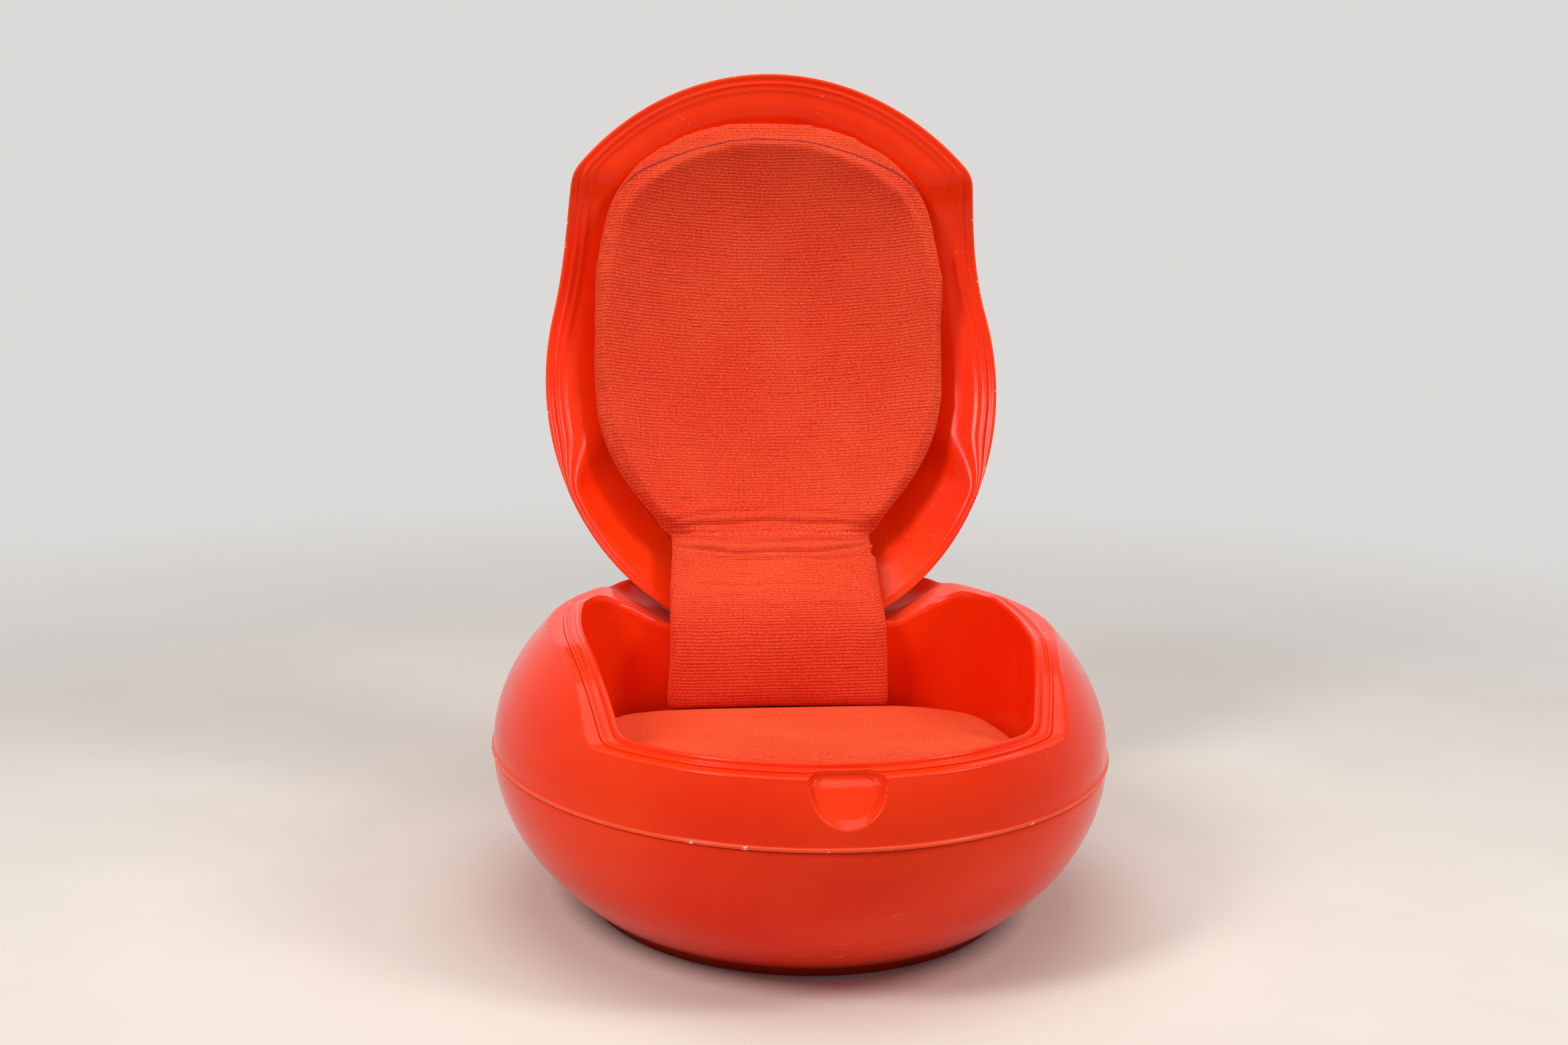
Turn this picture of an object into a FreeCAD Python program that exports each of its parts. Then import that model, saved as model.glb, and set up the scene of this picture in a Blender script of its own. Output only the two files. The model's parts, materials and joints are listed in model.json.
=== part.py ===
import FreeCAD, Part
import math
import os
import re

import Sketcher

# Egg-shaped lounge chair: a closed moulded egg whose hinged lid swings back to become the backrest.
# Frame: +Z up, -Y is the front, X is the sitter's left-right. Origin: centre of the foot, on the floor.
# The lid is built closed and then swung open, because the open chair is the rest pose.

Vector = FreeCAD.Vector

SIZES = {
    # the egg
    "egg_half_width": 377.5,
    "egg_half_depth": 430.0,
    "equator_height": 195.0,
    "upper_rise": 255.0,
    "lower_drop": 260.0,
    "skin": 7.0,
    "bead_tall": 5.0,
    "bead_proud": 2.5,
    # flat foot moulded under the lower shell
    "foot_share": 0.69,
    "foot_rise": 10.0,
    # spigot of the lower shell inside the upper shell
    "spigot_rise": 22.0,
    "spigot_wall": 5.0,
    "bond_gap": 0.3,
    # parting line between body and lid, seen from the side
    "rim_front_rise": 73.6,
    "rim_sweep_rise": 71.7,
    "rim_corner_inset": 159.0,
    "rim_sweep_radius": 259.0,
    "lid_gap": 0.5,
    # deck, and the tub flange that lies in its rebate
    "deck_wall": 7.0,
    "flange_width": 22.0,
    "flange_thickness": 4.0,
    "rib_width": 5.0,
    "rib_height": 2.5,
    "flat_height": 1.0,
    "coaming_width": 8.0,
    "coaming_height": 9.0,
    "coaming_lid_gap": 1.5,
    # mouth of the seat tub, in plan
    "mouth_front_inset": 56.0,
    "mouth_corner_side_inset": 143.5,
    "mouth_corner_front_inset": 168.0,
    "mouth_side_inset": 108.5,
    "mouth_widest_reach": 5.0,
    "mouth_rear_side_inset": 127.5,
    "mouth_rear_gap": 63.6,
    "mouth_front_round": 24.0,
    "mouth_rear_round": 60.0,
    # tub walls and sloping seat floor
    "tub_wall": 7.0,
    "seat_floor_drop": 54.6,
    "seat_floor_setback": 44.0,
    "seat_slope": 8.4,
    # lid moulding
    "lid_edge_thickness": 28.0,
    "lid_skin": 8.0,
    "lid_step_width": 13.0,
    "lid_step_depth": 5.0,
    "lid_second_width": 22.0,
    "lid_second_depth": 9.0,
    "lid_rear_edge": 10.0,
    "lid_rear_setback": 5.0,
    # hinge axis and travel
    "hinge_inset": 176.4,
    "hinge_lift": 16.3,
    "opening_angle": 108.5,
    "sweep_gap": 4.0,
    # well behind the seat into which the lid's tail swings
    "well_side_inset": 140.5,
    "well_floor_half_width": 78.0,
    "well_wall": 7.0,
    "saddle_drop": 44.3,
    # finger recess under the front edge of the lid
    "recess_half_width": 41.0,
    "recess_depth": 28.0,
    "recess_drop": 46.0,
    "recess_lip_drop": 6.6,
    "recess_back_inset": 41.0,
    "recess_wall": 6.0,
    # hinges
    "hinge_offset": 85.0,
    "bracket_width": 24.0,
    "plate_thickness": 4.0,
    "bracket_foot_drop": 94.0,
    "bracket_bend_gap": 1.0,
    "knuckle_radius": 8.0,
    "pin_radius": 4.0,
    "running_gap": 0.1,
    "ear_gap": 0.4,
    "ear_width": 6.0,
    "leaf_rise": 16.4,
    "leaf_front_run": 46.6,
    "leaf_rear_run": 0.4,
    "leaf_half_width": 22.0,
    "boss_half_width": 24.0,
    "pin_head_radius": 6.0,
    "pin_head_length": 2.0,
    # fasteners
    "bolt_radius": 3.0,
    "bolt_head_radius": 5.5,
    "bolt_head_height": 3.0,
    "bolt_edge": 10.0,
    "bolt_spacing": 20.0,
    "backing_thickness": 3.0,
    "backing_half_width": 20.0,
    "nut_height": 5.0,
    "nut_radius": 5.5,
    "leaf_screw_spread": 13.0,
    "leaf_screw_edge": 10.0,
    "leaf_screw_spacing": 19.0,
    "leaf_screw_length": 14.0,
    "leaf_screw_head": 2.5,
    "hole_gap": 0.1,
    # rubber stops for the open lid
    "stop_offset": 35.0,
    "stop_radius": 8.0,
    "stop_drop": 16.0,
    "stop_gap": 0.3,
    # cushions
    "cushion_gap": 0.3,
    "seat_side_gap": 4.0,
    "seat_thickness": 48.0,
    "pad_thickness": 45.0,
    "pad_top_inset": 78.0,
    "pad_top_lift": 9.4,
    "pad_side_inset": 141.5,
    "pad_widest_reach": 60.0,
    "pad_shoulder_side_inset": 177.5,
    "pad_shoulder_front_inset": 165.0,
    "pad_waist_half_width": 152.0,
    "pad_waist_gap": 48.6,
    "flap_thickness": 32.0,
    "flap_wall_gap": 12.0,
    "flap_bend_rise": 6.0,
    "flap_top_drop": 6.6,
    "flap_top_setback": 14.0,
    "flap_swing_gap": 4.0,
    # press studs that hold the back pad to the lid
    "stud_radius": 7.0,
    "stud_height": 3.5,
    "stud_offset": 110.0,
    "stud_front_reach": 190.0,
    "stud_rear_reach": 60.0,
    "stud_pocket_gap": 0.5,
    # reach of the cutting solids beyond the egg
    "beyond": 60.0,
}

# Places that follow from the sizes above, so that the pieces keep together when one of those changes.
TIED = {
    "foot_half_width": "foot_share * egg_half_width",
    "foot_half_depth": "foot_share * egg_half_depth",
    "rim_front_height": "equator_height + rim_front_rise",
    "rim_rear_height": "rim_front_height + rim_sweep_rise",
    "rim_corner_reach": "egg_half_depth - rim_corner_inset",
    "hinge_depth": "egg_half_depth - hinge_inset",
    "hinge_height": "rim_rear_height + hinge_lift",
    "mouth_front_reach": "egg_half_depth - mouth_front_inset",
    "mouth_corner_half_width": "egg_half_width - mouth_corner_side_inset",
    "mouth_corner_reach": "egg_half_depth - mouth_corner_front_inset",
    "mouth_half_width": "egg_half_width - mouth_side_inset",
    "mouth_rear_half_width": "egg_half_width - mouth_rear_side_inset",
    "mouth_rear_depth": "hinge_depth - mouth_rear_gap",
    "seat_floor_front_height": "rim_front_height - seat_floor_drop",
    "seat_floor_front_reach": "mouth_front_reach - seat_floor_setback",
    "lid_rear_start": "mouth_rear_depth - lid_rear_setback",
    "well_half_width": "egg_half_width - well_side_inset",
    "saddle_height": "rim_rear_height - saddle_drop",
    "recess_centre_height": "rim_front_height - recess_lip_drop",
    "recess_back_reach": "egg_half_depth - recess_back_inset",
    "bracket_foot_height": "saddle_height - bracket_foot_drop",
    "bracket_bend_height": "saddle_height + bracket_bend_gap",
    "bolt_low_height": "bracket_foot_height + bolt_edge",
    "bolt_high_height": "bolt_low_height + bolt_spacing",
    "leaf_top_height": "hinge_height + leaf_rise",
    "leaf_front_depth": "hinge_depth - leaf_front_run",
    "leaf_rear_depth": "hinge_depth + leaf_rear_run",
    "leaf_screw_front": "leaf_front_depth + leaf_screw_edge",
    "leaf_screw_rear": "leaf_screw_front + leaf_screw_spacing",
    "stop_centre_height": "saddle_height - stop_drop",
    "pad_top_reach": "egg_half_depth - pad_top_inset",
    "pad_top_floor": "rim_front_height + pad_top_lift",
    "pad_half_width": "egg_half_width - pad_side_inset",
    "pad_shoulder_half_width": "egg_half_width - pad_shoulder_side_inset",
    "pad_shoulder_reach": "egg_half_depth - pad_shoulder_front_inset",
    "pad_waist_depth": "hinge_depth - pad_waist_gap",
    "flap_back_depth": "mouth_rear_depth - flap_wall_gap",
    "flap_front_depth": "flap_back_depth - flap_thickness",
    "flap_bend_height": "saddle_height + flap_bend_rise",
    "flap_top_height": "hinge_height - flap_top_drop",
    "flap_top_depth": "mouth_rear_depth + flap_top_setback",
}

doc = FreeCAD.newDocument("EggChair")
sheet = doc.addObject("Spreadsheet::Sheet", "Sizes")
tied_cells = {alias: f"={text}" for alias, text in TIED.items()}
for row, (alias, value) in enumerate({**SIZES, **tied_cells}.items(), start=1):
    sheet.set(f"A{row}", alias)
    sheet.set(f"B{row}", str(value))
    sheet.setAlias(f"B{row}", alias)
doc.recompute()


def size(alias):
    return float(sheet.get(alias))


def formula(text):
    """Point every size named in the text at its cell in the sheet."""
    known = {**SIZES, **TIED}
    return re.sub(r"[a-z_]{3,}", lambda word: f"Sizes.{word[0]}" if word[0] in known else word[0], text)


def add(kind, name, **bound):
    piece = doc.addObject(kind, name)
    for prop, text in bound.items():
        piece.setExpression(prop.replace("__", "."), formula(text))
    return piece


def cut(name, base, tool):
    piece = doc.addObject("Part::Cut", name)
    piece.Base = base
    piece.Tool = tool
    return piece


def common(name, base, tool):
    piece = doc.addObject("Part::Common", name)
    piece.Base = base
    piece.Tool = tool
    return piece


def fuse(name, *shapes):
    piece = doc.addObject("Part::MultiFuse", name)
    piece.Shapes = list(shapes)
    return piece


def group(name, *shapes):
    piece = doc.addObject("Part::Compound", name)
    piece.Links = list(shapes)
    return piece


def outline_object(name, shape):
    """A flat outline, worked out from the sheet, that a document extrusion then uses."""
    piece = doc.addObject("Part::Feature", name)
    piece.Shape = shape
    return piece


def extrude(name, outline, direction, length, symmetric=False, **bound):
    piece = add("Part::Extrusion", name, LengthFwd=length, **bound)
    piece.Base = outline
    piece.DirMode = "Custom"
    piece.Dir = direction
    piece.Solid = True
    piece.Symmetric = symmetric
    return piece


def block(name, low, high):
    """A box between two corners, each given as three formulas."""
    lengths = [f"({b}) - ({a})" for a, b in zip(low, high)]
    return add("Part::Box", name, Length=lengths[0], Width=lengths[1], Height=lengths[2],
               Placement__Base__x=low[0], Placement__Base__y=low[1], Placement__Base__z=low[2])


def rod(name, radius, length, along, start):
    """A cylinder that starts at three formulas and runs along +X, +Y or +Z."""
    piece = add("Part::Cylinder", name, Radius=radius, Height=length)
    turns = {"x": (Vector(0, 1, 0), 90), "y": (Vector(1, 0, 0), -90), "z": (Vector(0, 0, 1), 0)}
    piece.Placement = FreeCAD.Placement(Vector(0, 0, 0), FreeCAD.Rotation(*turns[along]))
    for axis, text in zip("xyz", start):
        piece.setExpression(f"Placement.Base.{axis}", formula(text))
    return piece


def half_egg(name, vertical, inset="0", upper=True):
    """Upper or lower half of an ellipsoid about the egg's centre, set in from the egg's outline."""
    piece = add("Part::Ellipsoid", name, Radius1=vertical,
                Radius2=f"egg_half_width - ({inset})", Radius3=f"egg_half_depth - ({inset})",
                Placement__Base__z="equator_height")
    piece.Angle1 = 0 if upper else -90
    piece.Angle2 = 90 if upper else 0
    return piece


# ---------------------------------------------------------------- parting line and plan outlines

def region_below_parting():
    """Side view of everything under the parting line: level front, swept-up arm, level rear."""
    front, rear = size("rim_front_height"), size("rim_rear_height")
    radius = size("rim_sweep_radius")
    corner = -size("rim_corner_reach")
    run = math.sqrt(radius ** 2 - (radius - rear + front) ** 2)
    lean = math.asin(run / radius) / 2
    centre = Vector(0, corner + run, rear - radius)
    reach = size("egg_half_depth") + size("beyond")
    floor = -size("beyond")
    start = Vector(0, corner, front)
    middle = centre + Vector(0, -radius * math.sin(lean), radius * math.cos(lean))
    end = Vector(0, corner + run, rear)
    edges = [Part.makeLine(Vector(0, -reach, front), start),
             Part.Arc(start, middle, end).toShape(),
             Part.makeLine(end, Vector(0, reach, rear)),
             Part.makeLine(Vector(0, reach, rear), Vector(0, reach, floor)),
             Part.makeLine(Vector(0, reach, floor), Vector(0, -reach, floor)),
             Part.makeLine(Vector(0, -reach, floor), Vector(0, -reach, front))]
    return Part.Face(Part.Wire(edges))


def mirrored(point):
    return Vector(-point.x, point.y, point.z)


def towards(start, end):
    return (end - start).normalize()


def arc_about(centre, start, end):
    """Arc about a centre from one point to another, by the shorter way round."""
    middle = centre + towards(centre * 2, start + end) * (start - centre).Length
    return Part.Arc(start, middle, end).toShape()


def round_centre(front, side, radius, corner):
    """Centre of the small arc that rounds the corner between two larger ones from inside."""
    tracks = [Part.Circle(arc.Center, Vector(0, 0, 1), arc.Radius - radius) for arc in (front, side)]
    meets = [Vector(point.X, point.Y, 0) for point in tracks[0].intersect(tracks[1])]
    return min(meets, key=corner.distanceToPoint)


def mouth_wire(grow):
    """Plan of the tub's mouth, set out evenly: bowed front and sides, straight rear, round corners."""
    rear, rear_round = size("mouth_rear_depth"), size("mouth_rear_round")
    corner = Vector(size("mouth_corner_half_width"), -size("mouth_corner_reach"), 0)
    bow = Part.ArcOfCircle(mirrored(corner), Vector(0, -size("mouth_front_reach"), 0), corner)
    flank = Part.ArcOfCircle(corner, Vector(size("mouth_half_width"), -size("mouth_widest_reach"), 0),
                             Vector(size("mouth_rear_half_width"), rear, 0))
    front_centre = round_centre(bow, flank, size("mouth_front_round"), corner)
    rise = rear - rear_round - flank.Center.y
    rear_centre = Vector(flank.Center.x + math.sqrt((flank.Radius - rear_round) ** 2 - rise ** 2),
                         rear - rear_round, 0)
    points = [bow.Center + towards(bow.Center, front_centre) * (bow.Radius + grow),
              flank.Center + towards(flank.Center, front_centre) * (flank.Radius + grow),
              flank.Center + towards(flank.Center, rear_centre) * (flank.Radius + grow),
              Vector(rear_centre.x, rear + grow, 0)]
    centres = [front_centre, flank.Center, rear_centre]
    edges = [arc_about(bow.Center, mirrored(points[0]), points[0])]
    edges += [arc_about(*three) for three in zip(centres, points, points[1:])]
    edges.append(Part.makeLine(points[3], mirrored(points[3])))
    edges += [arc_about(mirrored(centre), mirrored(end), mirrored(start))
              for centre, start, end in reversed(list(zip(centres, points, points[1:])))]
    return Part.Wire(edges)


def pad_wire():
    """Plan of the upper back pad with the lid closed: domed head, full sides, narrow waist."""
    top = Vector(0, -size("pad_top_reach"), 0)
    shoulder = Vector(size("pad_shoulder_half_width"), -size("pad_shoulder_reach"), 0)
    side = Vector(size("pad_half_width"), -size("pad_widest_reach"), 0)
    waist = Vector(size("pad_waist_half_width"), size("pad_waist_depth"), 0)
    edges = [Part.Arc(mirrored(shoulder), top, shoulder).toShape(),
             Part.Arc(shoulder, side, waist).toShape(),
             Part.makeLine(waist, mirrored(waist)),
             Part.Arc(mirrored(waist), mirrored(side), mirrored(shoulder)).toShape()]
    return Part.Wire(edges)


def tail_radius(x):
    """Distance from the hinge axis to the lid's rear edge at a given x, with the running gap."""
    lift = (size("rim_rear_height") - size("equator_height")) / size("upper_rise")
    share = 1 - lift ** 2 - (x / size("egg_half_width")) ** 2
    behind = size("egg_half_depth") * math.sqrt(max(share, 0)) - size("hinge_depth")
    below = size("hinge_height") - size("rim_rear_height")
    return math.hypot(max(behind, 0), below) + size("sweep_gap")


def tail_barrel(grow):
    """Barrel about the hinge axis that clears the lid's tail; grow thickens it for the well's wall."""
    half = size("well_half_width")
    stations = [half * step / 8 for step in range(-8, 9)]
    radii = [Vector(x, size("hinge_depth"), size("hinge_height") - tail_radius(x) - grow) for x in stations]
    curve = Part.BSplineCurve()
    curve.interpolate(radii)
    left = Vector(-half, size("hinge_depth"), size("hinge_height"))
    right = Vector(half, size("hinge_depth"), size("hinge_height"))
    wire = Part.Wire([curve.toShape(), Part.makeLine(radii[-1], right), Part.makeLine(right, left),
                      Part.makeLine(left, radii[0])])
    return Part.Face(wire).revolve(left, Vector(1, 0, 0), 360)


def well_channel(floor, depth):
    """Front view of the well: level floor between two straight slopes up to the rim, set down by depth."""
    rear, half = size("rim_rear_height"), size("well_half_width")
    bottom = size("hinge_height") - tail_radius(0)
    slope = (rear - bottom) / (half - size("well_floor_half_width"))
    drop = depth * math.hypot(1, slope)
    level = max(bottom, floor) - depth
    foot = half - (rear - level - drop) / slope
    above = rear + size("beyond")
    brim = half + (above - rear + drop) / slope
    points = [(-brim, above), (-foot, level), (foot, level), (brim, above), (-brim, above)]
    return Part.Face(Part.makePolygon([Vector(x, 0, z) for x, z in points]))


parting = outline_object("PartingRegion", region_below_parting())


def below_parting(name, lift="0"):
    """Everything under the parting line, raised by a formula."""
    return extrude(name, parting, Vector(1, 0, 0), "2 * (egg_half_width + beyond)", True,
                   Placement__Base__z=lift)


def mouth_prism(name, grow, low="-beyond", high="equator_height + upper_rise + beyond"):
    """The mouth's plan, set out by a formula, raised between two heights."""
    outline = outline_object(f"{name}Outline", Part.Face(mouth_wire(sheet_value(grow))))
    return extrude(name, outline, Vector(0, 0, 1), f"({high}) - ({low})", Placement__Base__z=low)


def sheet_value(text):
    """Work out a formula of sheet sizes now, for shapes that Python sets."""
    return FreeCAD.Units.Quantity(str(sheet.evalExpression(formula(text)))).Value


# ---------------------------------------------------------------- lower shell

def make_lower_shell():
    shell = half_egg("LowerEgg", "lower_drop", upper=False)
    below_foot = block("BelowFoot", ("-2 * egg_half_width", "-2 * egg_half_depth", "-lower_drop"),
                       ("2 * egg_half_width", "2 * egg_half_depth", "foot_rise"))
    bowl = cut("LowerBowl", shell, below_foot)
    foot = plan_slab("FootDisc", "foot_half_width", "foot_half_depth", "0", "foot_rise")
    inner = half_egg("LowerHollow", "lower_drop - skin", "skin", upper=False)
    hollow = cut("LowerHollowTrimmed", inner, block(
        "FloorPlate", ("-2 * egg_half_width", "-2 * egg_half_depth", "-lower_drop"),
        ("2 * egg_half_width", "2 * egg_half_depth", "skin")))
    body = cut("LowerShellHollow", fuse("LowerBody", bowl, foot), hollow)
    joint = "equator_height - bead_tall / 2 - bond_gap"
    above_joint = block("AboveJoint", ("-2 * egg_half_width", "-2 * egg_half_depth", joint),
                        ("2 * egg_half_width", "2 * egg_half_depth", "2 * upper_rise"))
    trimmed = cut("LowerShellTrimmed", body, above_joint)
    top = "equator_height + spigot_rise"
    low = "equator_height - 2 * spigot_wall"
    ring = cut("SpigotRing", ellipse_slab("SpigotOuter", "skin + bond_gap", low, top),
               ellipse_slab("SpigotInner", "skin + bond_gap + spigot_wall", low, top))
    egg = half_egg("SpigotEgg", "upper_rise - skin - bond_gap", "skin + bond_gap")
    straight = ellipse_slab("SpigotStraight", "skin + bond_gap", low, "equator_height")
    upright = common("Spigot", ring, fuse("SpigotLimit", egg, straight))
    collar = cut("Collar", ellipse_slab("CollarOuter", "skin / 2", low, joint),
                 ellipse_slab("CollarInner", "skin + bond_gap + spigot_wall", low, joint))
    return cut("LowerShellShape", fuse("LowerShellWhole", trimmed, upright, collar),
               recess_bowl("RecessRoom", "recess_wall + bond_gap"))


def ellipse_slab(name, inset, low, high):
    """An upright slab on the egg's plan ellipse, set in by a formula."""
    return plan_slab(name, f"egg_half_width - ({inset})", f"egg_half_depth - ({inset})", low, high)


def plan_slab(name, half_width, half_depth, low, high):
    """An upright slab on an ellipse about the egg's axis."""
    half_x, half_y = sheet_value(half_width), sheet_value(half_depth)
    ellipse = Part.Ellipse(Vector(0, half_y, 0), Vector(half_x, 0, 0), Vector(0, 0, 0))
    outline = outline_object(f"{name}Outline", Part.Face(Part.Wire(ellipse.toShape())))
    return extrude(name, outline, Vector(0, 0, 1), f"({high}) - ({low})", Placement__Base__z=low)


# ---------------------------------------------------------------- upper shell

def recess_bowl(name, grow="0"):
    """Scoop for the fingers: part of an ellipsoid, stopped by a flat back wall."""
    scoop = add("Part::Ellipsoid", f"{name}Scoop", Radius1=f"recess_drop + {grow}",
                Radius2=f"recess_half_width + {grow}", Radius3=f"recess_depth + {grow}",
                Placement__Base__y="-(egg_half_depth * sqrt(1 - pow((recess_centre_height"
                                   " - equator_height) / upper_rise; 2)))",
                Placement__Base__z="recess_centre_height")
    scoop.Angle1, scoop.Angle2 = -90, 90
    front = block(f"{name}Front", ("-2 * recess_half_width", "-egg_half_depth - beyond", "0"),
                  ("2 * recess_half_width", f"{grow} - recess_back_reach", "equator_height + upper_rise"))
    return common(name, scoop, front)


def make_upper_shell():
    outer = common("UpperEggBody", half_egg("UpperEgg", "upper_rise"), below_parting("BodyRegion"))
    inner = half_egg("UpperHollow", "upper_rise - skin", "skin")
    cavity = common("UpperCavity", inner, below_parting("CavityRegion", "-deck_wall"))
    rear = "mouth_rear_depth + tub_wall + bond_gap"
    well = well_solid("Well", 0)
    well_outer = well_solid("WellOuter", size("well_wall"))
    scoop_wall = recess_bowl("RecessOuter", "recess_wall")
    void = cut("UpperVoid", cut("VoidBehindWell", cavity, well_outer), scoop_wall)
    shell = cut("UpperSkin", outer, void)
    opening = mouth_prism("DeckOpening", "tub_wall + bond_gap")
    ahead = common("DeckOpeningAhead", opening, block(
        "AheadOfWell", ("-2 * egg_half_width", "-2 * egg_half_depth", "-beyond"),
        ("2 * egg_half_width", rear, "2 * upper_rise")))
    rebate = cut("Rebate", mouth_prism("RebatePrism", "flange_width + bond_gap"),
                 below_parting("RebateFloor", "-flange_thickness - bond_gap"))
    rebate_ahead = common("RebateAhead", rebate, block(
        "AheadOfSaddle", ("-2 * egg_half_width", "-2 * egg_half_depth", "-beyond"),
        ("2 * egg_half_width", rear, "2 * upper_rise")))
    shell = cut("ShellWithMouth", shell, fuse("MouthTools", ahead, rebate_ahead))
    shell = cut("ShellWithWell", shell, well)
    shell = cut("ShellWithRecess", shell, recess_bowl("Recess"))
    bead = cut("Bead", ellipse_slab("BeadOuter", "-bead_proud", "equator_height - bead_tall / 2",
                                    "equator_height + bead_tall / 2"),
               ellipse_slab("BeadInner", "skin", "equator_height - bead_tall",
                            "equator_height + bead_tall"))
    return fuse("UpperShellShape", shell, bead)


def well_solid(name, grow):
    """Space of the well behind the tub: a channel in front of the hinge axis, a barrel behind it."""
    start = size("mouth_rear_depth") + size("tub_wall") + size("bond_gap")
    outline = outline_object(f"{name}Channel", well_channel(0, grow))
    length = "hinge_depth - mouth_rear_depth - tub_wall - bond_gap"
    channel = extrude(f"{name}Run", outline, Vector(0, 1, 0), length)
    channel.setExpression("Placement.Base.y", formula("mouth_rear_depth + tub_wall + bond_gap"))
    barrel = outline_object(f"{name}Barrel", tail_barrel(grow))
    behind = common(f"{name}Behind", barrel, block(
        f"{name}BehindAxis", ("-2 * egg_half_width", "hinge_depth", "-beyond"),
        ("2 * egg_half_width", "2 * egg_half_depth", "2 * upper_rise")))
    return fuse(name, channel, behind)


# ---------------------------------------------------------------- seat tub

def floor_region(name, lift):
    """Everything under the sloping seat floor, raised by a formula along Z."""
    reach = size("egg_half_depth") + size("beyond")
    fall = math.tan(math.radians(size("seat_slope")))
    front = size("seat_floor_front_height") + (reach - size("seat_floor_front_reach")) * fall
    rear = front - 2 * reach * fall
    points = [(-reach, front), (reach, rear), (reach, -reach), (-reach, -reach), (-reach, front)]
    outline = outline_object(f"{name}Side", Part.Face(Part.makePolygon([Vector(0, y, z) for y, z in points])))
    return extrude(name, outline, Vector(1, 0, 0), "2 * (egg_half_width + beyond)", True,
                   Placement__Base__z=lift)


def make_seat_tub():
    outer = cut("TubOuter", mouth_prism("TubPrism", "tub_wall"), floor_region("UnderFloor", "-tub_wall"))
    inner = cut("TubInner", mouth_prism("TubHollow", "0"), floor_region("UnderSeat", "0"))
    walls = common("TubWalls", cut("TubShell", outer, inner), below_parting("WallRegion"))
    rib_band = cut("RibBand", mouth_prism("RibOuter", "flange_width"),
                   mouth_prism("RibInner", "flange_width - rib_width"))
    rib = layer("Rib", rib_band, "-flange_thickness", "rib_height")
    flat_band = cut("FlatBand", mouth_prism("FlatOuter", "flange_width - rib_width"),
                    mouth_prism("FlatInner", "0"))
    flat = layer("Flat", flat_band, "-flange_thickness", "flat_height")
    coaming_band = cut("CoamingBand", mouth_prism("CoamingOuter", "coaming_width"),
                       mouth_prism("CoamingInner", "0"))
    coaming = layer("Coaming", coaming_band, "-flange_thickness", "coaming_height")
    rim = fuse("TubRim", rib, flat, coaming)
    under_lid = half_egg("LidClearance", "upper_rise - lid_skin - coaming_lid_gap",
                         "lid_edge_thickness + coaming_lid_gap")
    level = common("RimUnderParting", rim, below_parting("RimRegion"))
    rim_fitted = fuse("RimFitted", level, common("RimUnderLid", rim, under_lid))
    tub = fuse("TubWithRim", walls, rim_fitted)
    ahead = common("TubAhead", tub, block(
        "TubExtent", ("-2 * egg_half_width", "-2 * egg_half_depth", "-beyond"),
        ("2 * egg_half_width", "mouth_rear_depth + tub_wall", "2 * upper_rise")))
    saddle = outline_object("SaddleOutline", well_channel(size("saddle_height"), 0))
    saddle_cut = extrude("SaddleCut", saddle, Vector(0, 1, 0), "mouth_rear_round + beyond")
    saddle_cut.setExpression("Placement.Base.y", formula("mouth_rear_depth - mouth_rear_round / 2"))
    return cut("SeatTubShape", ahead, saddle_cut)


def layer(name, band, low, high):
    """The part of an upright band that lies between two sheets parallel to the parting line."""
    under = common(f"{name}Under", band, below_parting(f"{name}High", high))
    return cut(name, under, below_parting(f"{name}Low", low))


# ---------------------------------------------------------------- lid, drawn closed

def make_lid():
    outer = cut("LidOuter", half_egg("LidEgg", "upper_rise"), below_parting("LidFloor", "lid_gap"))
    hollow = half_egg("LidHollow", "upper_rise - lid_skin", "lid_edge_thickness")
    first = common("LidStepOne", half_egg("StepOneEgg", "upper_rise - lid_step_width", "lid_step_width"),
                   below_parting("StepOneRegion", "lid_step_depth"))
    second = common("LidStepTwo", half_egg("StepTwoEgg", "upper_rise - lid_second_width", "lid_second_width"),
                    below_parting("StepTwoRegion", "lid_second_depth"))
    tail = common("LidTailHollow", half_egg("TailEgg", "upper_rise - lid_skin", "lid_rear_edge"), block(
        "TailRegion", ("-2 * egg_half_width", "lid_rear_start", "0"),
        ("2 * egg_half_width", "2 * egg_half_depth", "2 * upper_rise")))
    shell = outer
    for name, tool in (("LidMain", hollow), ("LidOneStep", first), ("LidTwoSteps", second),
                       ("LidShell", tail)):
        shell = cut(name, shell, tool)
    bosses = [block(f"BossBlock{side}",
                    (f"{middle} - boss_half_width", "leaf_front_depth", "leaf_top_height"),
                    (f"{middle} + boss_half_width", "leaf_rear_depth", "equator_height + upper_rise"))
              for side, middle in SIDES.items()]
    boss = common("Bosses", fuse("BossBlocks", *bosses),
                  half_egg("BossEgg", "upper_rise - lid_skin / 2", "lid_skin / 2"))
    return cut("LidShape", fuse("LidWithBosses", shell, boss),
               leaf_screw_shanks("PilotHoles", "bolt_radius + hole_gap", SIDES))


SIDES = {"Left": "-hinge_offset", "Right": "hinge_offset"}


def leaf_screw_shanks(name, radius, sides, low="leaf_top_height - plate_thickness"):
    """Screw shanks that go up through each leaf into its boss in the lid."""
    shanks = []
    for side, middle in sides.items():
        for row, depth in enumerate(("leaf_screw_front", "leaf_screw_rear")):
            for column, shift in enumerate(("- leaf_screw_spread", "+ leaf_screw_spread")):
                shanks.append(rod(f"{name}{side}{row}{column}", radius,
                                  f"leaf_top_height + leaf_screw_length - ({low})", "z",
                                  (f"{middle} {shift}", depth, low)))
    return group(name, *shanks)


# ---------------------------------------------------------------- hinges

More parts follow.
